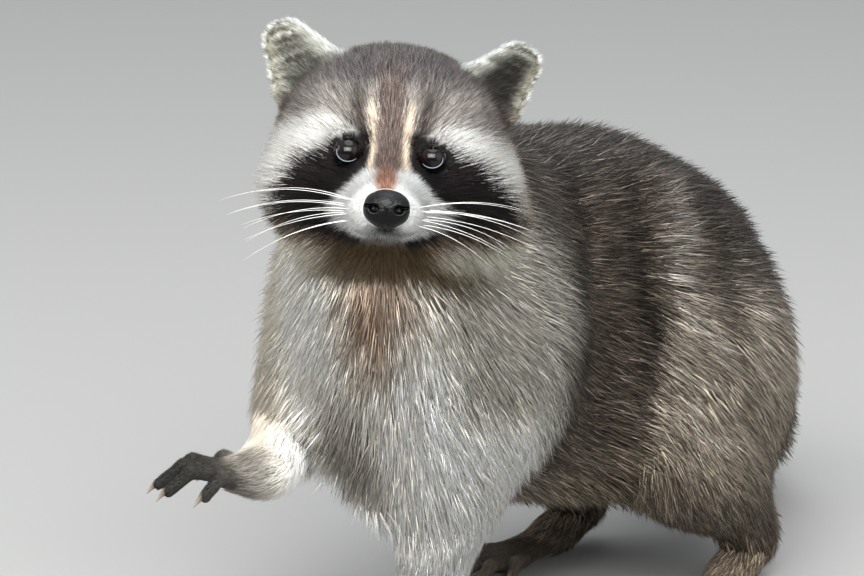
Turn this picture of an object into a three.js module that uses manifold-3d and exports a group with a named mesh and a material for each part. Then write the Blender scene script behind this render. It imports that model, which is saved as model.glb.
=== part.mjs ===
// A raccoon on its feet, right forepaw lifted, head turned to its left.
// Millimetres, +Z up, the animal faces -Y and its left side is +X.
// The outer surface is that of the coat.  The body is one smooth volume of
// tapered limbs and rounded masses, meshed and then parted with thin cuts.
import * as THREE from 'three';
import { mergeVertices } from 'three/addons/utils/BufferGeometryUtils.js';
import Module from 'manifold-3d';

const wasm = await Module();
wasm.setup();

// ------------------------------------------------------------ named sizes
const GAP = 0.3;                       // between neighbouring pieces
const EYE_RADIUS = 7.5;
const EYE_SPACING = 42;                // pupil to pupil
const EYE_DEPTH = -2.5;                // eyeball's centre, in the head's frame
const HEAD_YAW = 36, HEAD_PITCH = 15, HEAD_ROLL = 4.5;   // degrees
const EYES = [37, -136, 305];          // point midway between the eyes
const SOLE = 7.2;                      // height of the paws' axis over the floor
const ROUND = 1e3;

// ------------------------------------------------------------ small vectors
const rad = (d) => (d * Math.PI) / 180;
const add = (a, b) => [a[0] + b[0], a[1] + b[1], a[2] + b[2]];
const sub = (a, b) => [a[0] - b[0], a[1] - b[1], a[2] - b[2]];
const mul = (a, s) => [a[0] * s, a[1] * s, a[2] * s];
const dot = (a, b) => a[0] * b[0] + a[1] * b[1] + a[2] * b[2];
const cross = (a, b) => [a[1] * b[2] - a[2] * b[1], a[2] * b[0] - a[0] * b[2], a[0] * b[1] - a[1] * b[0]];
const len = (a) => Math.hypot(a[0], a[1], a[2]);
const unit = (a) => mul(a, 1 / len(a));

// ------------------------------------------------------------ frames
// A frame is three axes and an origin: local x is the animal's left,
// local y points backwards and local z up.
const BODY = { x: [1, 0, 0], y: [0, 1, 0], z: [0, 0, 1], o: [0, 0, 0] };
const HEAD = (() => {
  const a = rad(HEAD_YAW), p = rad(HEAD_PITCH), r = rad(HEAD_ROLL);
  const look = [Math.sin(a) * Math.cos(p), -Math.cos(a) * Math.cos(p), Math.sin(p)];
  const side = [Math.cos(a), Math.sin(a), 0];
  const up = cross(look, side);
  return {
    x: sub(mul(side, Math.cos(r)), mul(up, Math.sin(r))),
    y: mul(look, -1),
    z: add(mul(side, Math.sin(r)), mul(up, Math.cos(r))),
    o: EYES,
  };
})();
const turn = (F, v) => add(add(mul(F.x, v[0]), mul(F.y, v[1])), mul(F.z, v[2]));
const place = (F, v) => add(turn(F, v), F.o);
const H = (x, y, z) => place(HEAD, [x, y, z]);
const facing = (o, forward, up) => {
  const y = mul(unit(forward), -1), x = unit(cross(y, up));
  return { x, y, z: cross(x, y), o };
};
const tilted = (F, rx, ry, rz) => {
  const [a, b, c] = [rad(rx), rad(ry), rad(rz)];
  const [cx, sx, cy, sy, cz, sz] = [Math.cos(a), Math.sin(a), Math.cos(b), Math.sin(b), Math.cos(c), Math.sin(c)];
  return {
    x: turn(F, [cz * cy, sz * cy, -sy]),
    y: turn(F, [cz * sy * sx - sz * cx, sz * sy * sx + cz * cx, cy * sx]),
    z: turn(F, [cz * sy * cx + sz * sx, sz * sy * cx - cz * sx, cy * cx]),
    o: F.o,
  };
};

// ------------------------------------------------------------ masses
// limb: tapered round bar from a to b; mass: ellipsoid.  k is how softly a
// mass runs into what is already there; flat squeezes a limb along a normal.
const masses = [];
function limb(F, a, b, ra, rb, k, flat = null, list = masses) {
  const m = { kind: 'limb', a: place(F, a), b: place(F, b), ra, rb, k, flat: null, hollow: null };
  if (flat) m.flat = { n: unit(turn(F, flat.n)), f: flat.f };
  const r = Math.max(ra, rb);
  m.lo = [0, 1, 2].map((i) => Math.min(m.a[i], m.b[i]) - r);
  m.hi = [0, 1, 2].map((i) => Math.max(m.a[i], m.b[i]) + r);
  if (list) list.push(m);
  return m;
}
function mass(F, c, r, k, rot = [0, 0, 0], list = masses) {
  const T = tilted(F, ...rot);
  const m = { kind: 'mass', c: place(F, c), r, T, k, hollow: null };
  const e = [0, 1, 2].map((i) => Math.hypot(T.x[i] * r[0], T.y[i] * r[1], T.z[i] * r[2]));
  m.lo = [0, 1, 2].map((i) => m.c[i] - e[i]);
  m.hi = [0, 1, 2].map((i) => m.c[i] + e[i]);
  if (list) list.push(m);
  return m;
}
const smin = (a, b, k) => {
  const h = Math.max(k - Math.abs(a - b), 0) / k;
  return Math.min(a, b) - h * h * k * 0.25;
};
function distance(m, x, y, z) {
  let d;
  if (m.kind === 'limb') {
    let px = x - m.a[0], py = y - m.a[1], pz = z - m.a[2];
    let bx = m.b[0] - m.a[0], by = m.b[1] - m.a[1], bz = m.b[2] - m.a[2];
    if (m.flat) {
      const { n, f } = m.flat, g = 1 / f - 1;
      const pn = (px * n[0] + py * n[1] + pz * n[2]) * g, bn = (bx * n[0] + by * n[1] + bz * n[2]) * g;
      px += pn * n[0]; py += pn * n[1]; pz += pn * n[2];
      bx += bn * n[0]; by += bn * n[1]; bz += bn * n[2];
    }
    const t = Math.min(Math.max((px * bx + py * by + pz * bz) / (bx * bx + by * by + bz * bz), 0), 1);
    px -= t * bx; py -= t * by; pz -= t * bz;
    const L = Math.hypot(px, py, pz);
    d = L - (m.ra + (m.rb - m.ra) * t);
    if (m.flat) {
      const { n, f } = m.flat, q = (px * n[0] + py * n[1] + pz * n[2]) / Math.max(L, 1e-6);
      d /= Math.sqrt(1 + q * q * (1 / (f * f) - 1));
    }
  } else {
    const px = x - m.c[0], py = y - m.c[1], pz = z - m.c[2], { T, r } = m;
    const u = (px * T.x[0] + py * T.x[1] + pz * T.x[2]) / r[0];
    const v = (px * T.y[0] + py * T.y[1] + pz * T.y[2]) / r[1];
    const w = (px * T.z[0] + py * T.z[1] + pz * T.z[2]) / r[2];
    const k0 = Math.hypot(u, v, w), k1 = Math.hypot(u / r[0], v / r[1], w / r[2]);
    d = (k0 * (k0 - 1)) / Math.max(k1, 1e-9);
  }
  if (m.hollow) d = -smin(-d, distance(m.hollow, x, y, z), 2);
  return d;
}

// ---- trunk
limb(BODY, [-2, -52, 207], [-14, 36, 200.5], 77, 79, 40);
limb(BODY, [-14, 36, 200.5], [-13, 98, 184], 79, 85.7, 14);
limb(BODY, [-13, 98, 184], [-10, 150, 163], 85.7, 84.8, 14);
mass(BODY, [18, -97, 174], [60, 40, 80], 36, [0, 0, 20]);        // breast
limb(BODY, [0, 0, 143], [0, 84, 120], 61, 64, 40);               // belly
mass(BODY, [-3, 154, 138], [77, 68, 82.6], 24);                  // rump
mass(BODY, [46, -50, 182], [38, 45, 58], 30);                    // left shoulder
mass(BODY, [-36, -80, 185], [34, 40, 58], 30);                   // right shoulder
// ---- neck
limb(BODY, H(0, 45, -5), [2, -50, 222], 54, 70, 34);
limb(BODY, H(0, 36, -28), [16, -100, 208], 38, 46, 30);
// ---- head
mass(HEAD, [0, 40, 10], [55, 38, 46], 30);                       // skull
mass(HEAD, [0, 21, 10], [40, 20, 24], 16);                       // brow
for (const s of [1, -1]) {
  mass(HEAD, [s * 37.8 + 1.8, 30, -18], [31, 32, 28], 20);       // cheek ruff
  mass(HEAD, [s * 27, 20, -16], [18, 18, 16], 12);               // below the eye
}
limb(HEAD, [0, 12, -19], [0, -37, -27], 26.5, 13.5, 14);         // muzzle
for (const s of [1, -1]) mass(HEAD, [s * 9, -31, -30], [12, 17, 10.5], 9);
limb(HEAD, [0, -2, -31], [0, -35, -36], 15.5, 8.6, 8);           // lower jaw
mass(HEAD, [0, 30, -22], [54, 34, 27], 24);                      // throat ruff
// ears: flattened cups, the right one held a little higher
for (const [s, base, tip, rBase, rTip] of [
  [1, [48, 41, 37], [59.5, 46, 51.8], 21, 14.2],
  [-1, [-44.5, 41, 38.5], [-56, 46, 54], 22.5, 14.8]]) {
  const n = unit([s * 0.3, -0.94, 0.1]);
  const ear = limb(HEAD, base, tip, rBase, rTip, 6, { n, f: 0.3 });
  ear.hollow = limb(HEAD, add(base, mul(n, 7)), add(tip, mul(n, 5)), rBase - 3.5, rTip - 3, 6, { n, f: 0.36 }, null);
}
// ---- forelegs
limb(BODY, [46, -50, 186], [28, -72, 118], 36, 27, 24);
limb(BODY, [28, -72, 118], [22, -92, 28], 27, 14.5, 20);
limb(BODY, [-36, -84, 190], [-61, -78, 142], 32, 27, 24);
limb(BODY, [-61, -78, 142], [-31, -151, 131], 27, 14.5, 20);
// ---- paws: five digits each, with claws; curl bends the digits down
const FORE = [[-11.5, -8, -0.42, 22], [-6.5, -20, -0.2, 28], [0, -22, 0, 31], [6.5, -20, 0.2, 28], [11.5, -8, 0.42, 22]];
const HIND = [[-12, -32, -0.32, 18], [-7, -44, -0.15, 24], [0, -46, 0, 27], [7, -44, 0.15, 24], [12, -32, 0.32, 18]];
function paw(o, forward, hind, curl) {
  const F = facing(o, forward, [0, 0, 1]);
  if (hind) limb(F, [0, 8, 2], [0, -38, -1], 13, 13.5, 8, { n: [0, 0, 1], f: 0.66 });
  else limb(F, [0, 0, 0], [0, -16, -1], 12, 12.5, 8, { n: [0, 0, 1], f: 0.68 });
  for (const [x, y, a, L] of hind ? HIND : FORE) {
    const P = (t, z) => [x + Math.sin(a) * t, y - Math.cos(a) * t, z];
    limb(F, P(0, 0), P(L * 0.55, 1.8 + curl * 2), 5.2, 4.6, 3);
    limb(F, P(L * 0.55, 1.8 + curl * 2), P(L * (1 - 0.06 * curl), -3.6 - 6 * curl), 4.6, 4, 2);
    limb(F, P(L * (1 - 0.06 * curl), -2.6 - 6 * curl), P((L + 8) * (1 - 0.12 * curl), -5.8 - 11 * curl), 2, 0.8, 1);
  }
}
limb(BODY, [-31, -151, 131], [-36, -157, 130], 14, 11.5, 10);    // right wrist
paw([-33, -155, 131], [-0.8, -0.6, 0.02], false, 0.6);
paw([22, -94, SOLE], [0.1, -0.99, 0], false, 0);
// ---- hind legs
for (const s of [1, -0.95]) {
  mass(BODY, [s * 54, 136, 118], [42, 70, 72], 34, [-20, 0, 0]);
  limb(BODY, [s * 66, 98, 92], [s * 60, 178, 34], 34, 17, 22);
  limb(BODY, [s * 60, 182, 23], [s * 62, 150, 12], 15, 13, 10);
  paw([s * 63, 146, SOLE], [s * 0.14, -0.99, 0], true, 0);
}
// ---- tail, laid on the floor and curling to the animal's right
const TAIL = [[-3, 210, 122, 38], [-8, 256, 82, 41], [-34, 300, 48, 41], [-94, 326, 40, 41], [-160, 320, 39, 40], [-214, 294, 35, 30]];
for (let i = 0; i + 1 < TAIL.length; i++) {
  const [p, q] = [TAIL[i], TAIL[i + 1]];
  limb(BODY, p.slice(0, 3), q.slice(0, 3), p[3], q[3], 16);
}

// ------------------------------------------------------------ meshing
// Surface nets over a box, step h: one vertex in each cell the surface crosses.
function skin(list, lo, hi, h, grow = 0) {
  const n = [0, 1, 2].map((i) => Math.ceil((hi[i] - lo[i]) / h) + 1);
  const V = new Float64Array(n[0] * n[1] * n[2]).fill(40);
  const cap = 1;
  const at = (i, j, k) => (i * n[1] + j) * n[2] + k;
  for (const m of list) {
    const pad = m.k + 2.5 * h;
    const a = [0, 1, 2].map((i) => Math.min(Math.max(Math.floor((m.lo[i] - pad - lo[i]) / h), 0), n[i]));
    const b = [0, 1, 2].map((i) => Math.min(Math.max(Math.ceil((m.hi[i] + pad - lo[i]) / h) + 1, 0), n[i]));
    for (let i = a[0]; i < b[0]; i++) for (let j = a[1]; j < b[1]; j++) for (let k = a[2]; k < b[2]; k++) {
      const q = at(i, j, k);
      V[q] = smin(V[q], distance(m, lo[0] + i * h, lo[1] + j * h, lo[2] + k * h), m.k);
    }
  }
  for (let i = 0; i < n[0]; i++) for (let j = 0; j < n[1]; j++) for (let k = 0; k < n[2]; k++)
    if (i === 0 || j === 0 || k === 0 || i === n[0] - 1 || j === n[1] - 1 || k === n[2] - 1) V[at(i, j, k)] = cap;
    else V[at(i, j, k)] -= grow;
  const id = new Int32Array(V.length).fill(-1), verts = [], tris = [];
  for (let i = 0; i + 1 < n[0]; i++) for (let j = 0; j + 1 < n[1]; j++) for (let k = 0; k + 1 < n[2]; k++) {
    let s = [0, 0, 0], c = 0;
    for (let e = 0; e < 12; e++) {
      const ax = e >> 2, u = e & 1, v = (e >> 1) & 1, o = [0, 0, 0];
      o[(ax + 1) % 3] = u; o[(ax + 2) % 3] = v;
      const A = V[at(i + o[0], j + o[1], k + o[2])];
      const p = o.slice(); p[ax] = 1;
      const B = V[at(i + p[0], j + p[1], k + p[2])];
      if ((A < 0) !== (B < 0)) { o[ax] = A / (A - B); s = add(s, o); c++; }
    }
    if (c) { id[at(i, j, k)] = verts.length; verts.push([lo[0] + h * (i + s[0] / c), lo[1] + h * (j + s[1] / c), lo[2] + h * (k + s[2] / c)]); }
  }
  for (let ax = 0; ax < 3; ax++) {
    const o1 = (ax + 1) % 3, o2 = (ax + 2) % 3;
    for (let i = ax === 0 ? 0 : 1; i + 1 < n[0]; i++) for (let j = ax === 1 ? 0 : 1; j + 1 < n[1]; j++) for (let k = ax === 2 ? 0 : 1; k + 1 < n[2]; k++) {
      const g = [i, j, k], p = g.slice(); p[ax]++;
      const A = V[at(...g)] < 0, B = V[at(...p)] < 0;
      if (A === B) continue;
      const cell = (d1, d2) => { const q = g.slice(); q[o1] += d1; q[o2] += d2; return id[at(...q)]; };
      const q = [cell(-1, -1), cell(0, -1), cell(0, 0), cell(-1, 0)];
      if (!A) q.reverse();
      const near = len(sub(verts[q[0]], verts[q[2]])) < len(sub(verts[q[1]], verts[q[3]]));
      if (near) tris.push([q[0], q[1], q[2]], [q[0], q[2], q[3]]);
      else tris.push([q[1], q[2], q[3]], [q[1], q[3], q[0]]);
    }
  }
  return { verts, tris };
}

// Edge collapse by squared distance to the planes of the faces, down to a
// count of faces; or only edges under a length whose collapse moves less than
// a limit, and then onto one of their own ends, so that flat cuts stay flat.
function thin({ verts, tris }, count, shortest = Infinity, limit = Infinity) {
  const v = verts.map((p) => p.slice()), f = tris.map((t) => t.slice());
  const live = new Uint8Array(f.length).fill(1), rev = new Int32Array(v.length);
  const fan = v.map(() => new Set());
  f.forEach((t, i) => t.forEach((a) => fan[a].add(i)));
  const Q = v.map(() => new Float64Array(10));
  const normal = (t, a = -1, p = null) => {
    const [A, B, C] = t.map((i) => (i === a ? p : v[i]));
    return cross(sub(B, A), sub(C, A));
  };
  for (const t of f) {
    const N = normal(t), L = len(N);
    if (L < 1e-12) continue;
    const n = mul(N, 1 / L), d = -dot(n, v[t[0]]), w = L / 2;
    const q = [n[0] * n[0], n[0] * n[1], n[0] * n[2], n[0] * d, n[1] * n[1], n[1] * n[2], n[1] * d, n[2] * n[2], n[2] * d, d * d];
    for (const a of t) for (let i = 0; i < 10; i++) Q[a][i] += w * q[i];
  }
  const cost = (q, p) => q[0] * p[0] * p[0] + 2 * q[1] * p[0] * p[1] + 2 * q[2] * p[0] * p[2] + 2 * q[3] * p[0]
    + q[4] * p[1] * p[1] + 2 * q[5] * p[1] * p[2] + 2 * q[6] * p[1] + q[7] * p[2] * p[2] + 2 * q[8] * p[2] + q[9];
  const best = (a, b) => {
    const q = Q[a].map((x, i) => x + Q[b][i]);
    const mid = mul(add(v[a], v[b]), 0.5), L = len(sub(v[a], v[b]));
    const picks = shortest === Infinity ? [mid, v[a], v[b]] : [v[a], v[b]];
    const [A, B, C, D, E, F, G, I, J] = q;
    const det = A * (E * I - F * F) - B * (B * I - F * C) + C * (B * F - E * C);
    const tr = A + E + I;
    if (shortest === Infinity && Math.abs(det) > 1e-4 * tr * tr * tr / 27) {
      const x = [
        -(D * (E * I - F * F) - B * (G * I - F * J) + C * (G * F - E * J)) / det,
        -(A * (G * I - J * F) - D * (B * I - C * F) + C * (B * J - G * C)) / det,
        -(A * (E * J - F * G) - B * (B * J - C * G) + D * (B * F - E * C)) / det];
      if (len(sub(x, mid)) < L * 1.2) picks.push(x);
    }
    let p = picks[0], c = Infinity, off = 0;
    for (const x of picks) { const o = cost(q, x), e = o + 1e-3 * L * L * L; if (e < c) { c = e; p = x; off = o; } }
    return { p: p.slice(), c, off, L };
  };
  const heap = [];
  const less = (i, j) => heap[i].c < heap[j].c;
  const swap = (i, j) => { const t = heap[i]; heap[i] = heap[j]; heap[j] = t; };
  const push = (e) => { heap.push(e); let i = heap.length - 1; while (i && less(i, (i - 1) >> 1)) { swap(i, (i - 1) >> 1); i = (i - 1) >> 1; } };
  const pop = () => {
    const top = heap[0], last = heap.pop();
    if (heap.length) {
      heap[0] = last; let i = 0;
      for (;;) { let m = i; const l = 2 * i + 1; if (l < heap.length && less(l, m)) m = l; if (l + 1 < heap.length && less(l + 1, m)) m = l + 1; if (m === i) break; swap(i, m); i = m; }
    }
    return top;
  };
  const ring = (a) => { const s = new Set(); for (const i of fan[a]) for (const b of f[i]) if (b !== a) s.add(b); return s; };
  const offer = (a, b) => {
    const e = best(a, b);
    if (e.L > shortest || e.off > limit) return;
    push({ ...e, c: shortest < Infinity ? e.L : e.c, a, b, ra: rev[a], rb: rev[b] });
  };
  for (let a = 0; a < v.length; a++) for (const b of ring(a)) if (a < b) offer(a, b);
  let left = f.length;
  while (left > count && heap.length) {
    const { a, b, p, ra, rb } = pop();
    if (rev[a] !== ra || rev[b] !== rb || !fan[a].size || !fan[b].size) continue;
    const A = ring(a), B = ring(b);
    if (!A.has(b)) continue;
    let both = 0; for (const x of A) if (B.has(x)) both++;
    if (both !== 2 || A.size + B.size < 8) continue;
    const flips = (x, y) => {
      for (const i of fan[x]) {
        if (f[i].includes(y)) continue;
        const N = normal(f[i]), M = normal(f[i], x, p), l = len(N) * len(M);
        if (l > 1e-14 && dot(N, M) < 0.25 * l) return true;
        if (len(M) < 1e-9) return true;
      }
      return false;
    };
    if (flips(a, b) || flips(b, a)) continue;
    for (const i of [...fan[b]]) {
      if (f[i].includes(a)) { live[i] = 0; left--; for (const x of f[i]) fan[x].delete(i); }
      else { f[i] = f[i].map((x) => (x === b ? a : x)); fan[a].add(i); }
    }
    fan[b].clear(); v[a] = p; rev[a]++; rev[b]++;
    for (let i = 0; i < 10; i++) Q[a][i] += Q[b][i];
    for (const x of ring(a)) offer(a, x);
  }
  const map = new Map(), V = [], T = [];
  f.forEach((t, i) => { if (live[i]) T.push(t.map((a) => { if (!map.has(a)) { map.set(a, V.length); V.push(v[a]); } return map.get(a); })); });
  return { verts: V, tris: T };
}

// Corners of two sheets that meet in one point are drawn a little apart.
function apart({ verts, tris }) {
  const seen = new Map();
  verts.forEach((p, i) => { const k = p.map((x) => Math.round(x * 50)).join(); seen.set(k, [...(seen.get(k) || []), i]); });
  for (const same of seen.values()) if (same.length > 1) for (const i of same) {
    let c = [0, 0, 0], n = 0;
    for (const t of tris) if (t.includes(i)) { c = add(c, add(verts[t[0]], add(verts[t[1]], verts[t[2]]))); n += 3; }
    const d = sub(mul(c, 1 / n), verts[i]);
    verts[i] = add(verts[i], mul(d, Math.min(0.15 / len(d), 0.3)));
  }
  return { verts, tris };
}

// ------------------------------------------------------------ solids and cuts
const solid = ({ verts, tris }) => new wasm.Manifold(new wasm.Mesh({
  numProp: 3, vertProperties: new Float32Array(verts.flat()), triVerts: new Uint32Array(tris.flat()),
}));
const plain = (m) => {
  const g = m.getMesh(), verts = [], tris = [];
  for (let i = 0; i < g.vertProperties.length; i += g.numProp) verts.push([...g.vertProperties.slice(i, i + 3)]);
  for (let i = 0; i < g.triVerts.length; i += 3) tris.push([...g.triVerts.slice(i, i + 3)]);
  return { verts, tris };
};
function fromGeometry(geometry, F) {
  geometry.deleteAttribute('normal'); geometry.deleteAttribute('uv');
  const g = mergeVertices(geometry, 1e-4), P = g.attributes.position, I = g.index.array;
  const verts = [], tris = [];
  for (let i = 0; i < P.count; i++) verts.push(place(F, [P.getX(i), P.getY(i), P.getZ(i)]));
  for (let i = 0; i < I.length; i += 3) tris.push([I[i], I[i + 1], I[i + 2]]);
  return { verts, tris };
}
// the half of space beyond a plane, as a large slab
function beyond(F, point, normal, back = 0, size = 900) {
  const n = unit(turn(F, normal)), o = add(place(F, point), mul(n, back));
  const side = Math.abs(n[2]) < 0.9 ? [0, 0, 1] : [1, 0, 0];
  const x = unit(cross(side, n)), y = cross(n, x);
  return solid(fromGeometry(new THREE.BoxGeometry(size, size, size).translate(0, 0, size / 2), { x, y, z: n, o }));
}
const block = (lo, hi) => solid(fromGeometry(
  new THREE.BoxGeometry(hi[0] - lo[0], hi[1] - lo[1], hi[2] - lo[2]).translate((lo[0] + hi[0]) / 2, (lo[1] + hi[1]) / 2, (lo[2] + hi[2]) / 2), BODY));
function ball(F, c, r, grow = 0, detail = 7) {
  const g = new THREE.IcosahedronGeometry(1, detail).scale(r[0] + grow, r[1] + grow, r[2] + grow).translate(...c);
  return solid(fromGeometry(g, F));
}
const half = GAP / 2;
const FLOOR = block([-600, -600, -100], [600, 600, 0]);
const region = (lo, hi, h, faces) => solid(thin(skin(masses, lo, hi, h), faces)).subtract(FLOOR);

// cutting planes, each as [frame, point, normal]; the normal points to the
// outlying piece
const CUT = {
  head: [HEAD, [8, 60, -34], [-0.31, -0.75, 0.58]],
  neck: [BODY, [7.5, -70, 225], [0.116, -0.5, 0.86]],
  muzzle: [HEAD, [0, -16.5, 0], [0, -1, 0]],
  ear_left: [HEAD, [48, 44, 40], [0.623, 0, 0.782]],
  ear_right: [HEAD, [-45, 44, 41.5], [-0.623, 0, 0.782]],
  forepaw_left: [BODY, [22, -92, 27], [-0.06, -0.2, -0.97]],
  forepaw_right: [BODY, [-33, -149, 131.5], [-0.27, -0.96, -0.07]],
  hindfoot: [BODY, [0, 0, 28], [0, 0, -1]],
  tail_base: [BODY, [-6, 234, 101], [-0.08, 0.75, -0.65]],
  tail_mid: [BODY, [-52, 308, 45], [-0.86, 0.5, 0]],
  tail_tip: [BODY, [-140, 323, 40], [-1, -0.03, 0]],
};
const out = (name) => beyond(...CUT[name], half);
const inside = (name) => { const [F, p, n] = CUT[name]; return beyond(F, p, mul(n, -1), half); };

// regions of the legs against the trunk
const FORELEG_L = facing([26, -82, 58], [-0.065, -0.216, -0.974], [0, -1, 0]);
const legEgg = (grow) => ball(FORELEG_L, [0, 0, 0], [46, 76, 44], grow, 2);
const ARM_R = facing([-54, -105, 136], [0.376, -0.916, -0.138], [0, 0, 1]);
const armEgg = (grow) => ball(ARM_R, [0, 0, 0], [32, 73, 32], grow, 2);
const thighEgg = (s, grow) => ball(BODY, [s * 64, 128, 98], [42, 80, 84], grow, 2);
const shinBox = (s, grow) => {
  const a = [s > 0 ? 26 : -112, 58, -5], b = [s > 0 ? 112 : -26, 222, 50];
  return block(a.map((x) => x - grow), b.map((x) => x + grow));
};
const hindRegion = (s, grow) => thighEgg(s, grow).add(shinBox(s, grow));

// ------------------------------------------------------------ pieces
const pieces = {};
const eyeAt = (s) => [(s * EYE_SPACING) / 2, EYE_DEPTH, 0];
const NOSE = [1, -49.5, -26.6], NOSE_R = [11, 8.5, 10];

// nose pad: a rounded wedge, wider above, with two nostrils
const nose = [];
mass(HEAD, NOSE, NOSE_R, 3, [0, 0, 0], nose);
mass(HEAD, [NOSE[0], -48, -22.8], [10.8, 8, 6], 4, [0, 0, 0], nose);
const noseShape = (grow) => solid(thin(skin(nose, sub(H(0, -50, -26), [17, 17, 17]), add(H(0, -50, -26), [17, 17, 17]), 1, grow), 240));
let nosePad = noseShape(0);
for (const s of [1, -1]) nosePad = nosePad.subtract(ball(HEAD, [NOSE[0] + s * 5.2, -57.2, -27], [2.4, 3, 2], 0, 1));
pieces.nose_pad = nosePad;

const headMesh = () => region(sub(H(0, 30, 0), [110, 110, 110]), add(H(0, 30, 0), [110, 110, 100]), 3.2, 1000);
const around = (p, r) => [sub(p, [r, r, r]), add(p, [r, r, r])];
let head = headMesh().intersect(out('head')).intersect(inside('muzzle')).intersect(inside('ear_left')).intersect(inside('ear_right'));
for (const s of [1, -1]) {
  const e = eyeAt(s);
  head = head.subtract(ball(HEAD, e, [EYE_RADIUS, EYE_RADIUS, EYE_RADIUS], GAP, 2));
  head = head.subtract(ball(HEAD, [e[0], e[1] - 9, e[2]], [6.4, 9, 6.2], 0, 1));       // lids' opening
}
pieces.head = head;
pieces.muzzle = region(...around(H(0, -34, -24), 42), 1.6, 420).intersect(out('muzzle'))
  .subtract(noseShape(0.5));
for (const [s, tag] of [[1, 'left'], [-1, 'right']]) {
  pieces[`ear_${tag}`] = region(...around(H(s * 56, 44, 46), 36), 1.3, 430).intersect(out(`ear_${tag}`));
  pieces[`eye_${tag}`] = ball(HEAD, eyeAt(s), [EYE_RADIUS, EYE_RADIUS, EYE_RADIUS], 0, 2);
}

const body = region([-130, -190, -20], [130, 260, 320], 5, 1750);
pieces.neck = region([-120, -190, 150], [130, 60, 320], 5, 900).intersect(inside('head')).intersect(out('neck'));
let trunk = body.intersect(inside('neck')).intersect(inside('tail_base')).subtract(legEgg(half)).subtract(armEgg(half));
for (const s of [1, -1]) trunk = trunk.subtract(hindRegion(s, half));
trunk = trunk.subtract(beyond(...CUT.forepaw_right, -half));
pieces.trunk = trunk;

pieces.foreleg_left = region([-40, -150, -8], [90, -10, 160], 3, 600).intersect(legEgg(-half)).intersect(inside('forepaw_left')).intersect(inside('neck'));
pieces.forepaw_left = region([-12, -170, -8], [56, -60, 50], 1.35, 560).intersect(out('forepaw_left')).intersect(block([-12.5, -168, 0], [55, -60.5, 60]));
pieces.foreleg_right = region([-120, -180, 90], [0, -30, 190], 3, 480).intersect(armEgg(-half)).intersect(inside('forepaw_right'));
pieces.forepaw_right = region([-100, -220, 95], [-2, -130, 160], 1.35, 560).intersect(out('forepaw_right'));
for (const [s, tag] of [[1, 'left'], [-1, 'right']]) {
  const lo = s > 0 ? [10, 30, -8] : [-130, 30, -8], hi = s > 0 ? [130, 230, 200] : [-10, 230, 200];
  pieces[`hindleg_${tag}`] = region(lo, hi, 4, 640).intersect(hindRegion(s, -half)).intersect(inside('hindfoot'));
  const flo = s > 0 ? [30, 56, -8] : [-104, 56, -8], fhi = s > 0 ? [104, 214, 44] : [-30, 214, 44];
  pieces[`hindfoot_${tag}`] = region(flo, fhi, 1.5, 520).intersect(out('hindfoot')).intersect(shinBox(s, -half));
}
const tail = region([-270, 200, -8], [90, 390, 190], 4, 560);
const tailBox = block([-300, 204, -5], [100, 400, 200]);
pieces.tail_base = tail.intersect(out('tail_base')).intersect(inside('tail_mid')).intersect(tailBox);
pieces.tail_mid = tail.intersect(out('tail_mid')).intersect(inside('tail_tip'));
pieces.tail_tip = tail.intersect(out('tail_tip'));

// ------------------------------------------------------------ scene graph
const LOOK = {
  head: [0x8c8178, 0.9], muzzle: [0xe9e3da, 0.9], nose_pad: [0x1b1a1c, 0.35], eye: [0x140e0b, 0.08], ear: [0xcfcac2, 0.9],
  neck: [0xa79c90, 0.9], trunk: [0x8f857b, 0.9], foreleg: [0xb8aea2, 0.9], forepaw: [0x2e2a29, 0.7],
  hindleg: [0x8f857b, 0.9], hindfoot: [0x4a423c, 0.8], tail: [0x6f655c, 0.9],
};
const raccoon = new THREE.Group();
raccoon.name = 'raccoon';
const box = new THREE.Box3();
for (const [name, m] of Object.entries(pieces)) {
  const parts = m.decompose().sort((a, b) => b.volume() - a.volume());     // keep the piece, drop crumbs
  const clean = apart(thin(thin(plain(parts[0]), 0, 0.12), 0, 30, 0.012));
  const g = new THREE.BufferGeometry();
  g.setAttribute('position', new THREE.Float32BufferAttribute(clean.verts.flat().map((x) => Math.round(x * ROUND) / ROUND), 3));
  g.setIndex(clean.tris.flat());
  g.computeVertexNormals();
  const [color, roughness] = LOOK[name in LOOK ? name : name.split('_')[0]];
  const mesh = new THREE.Mesh(g, new THREE.MeshStandardMaterial({ color, roughness, metalness: 0 }));
  mesh.name = name;
  raccoon.add(mesh);
  g.computeBoundingBox();
  box.union(g.boundingBox);
}
// origin: middle of the footprint, on the floor
raccoon.position.set(-(box.min.x + box.max.x) / 2, -(box.min.y + box.max.y) / 2, -box.min.z);

export default raccoon;
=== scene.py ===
"""Looks of the raccoon: one skin, its coat of tapered tufts, eyes, nose, claws and whiskers."""

import math
import time

import bpy
import numpy as np
from mathutils import Matrix, Vector, kdtree


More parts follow.
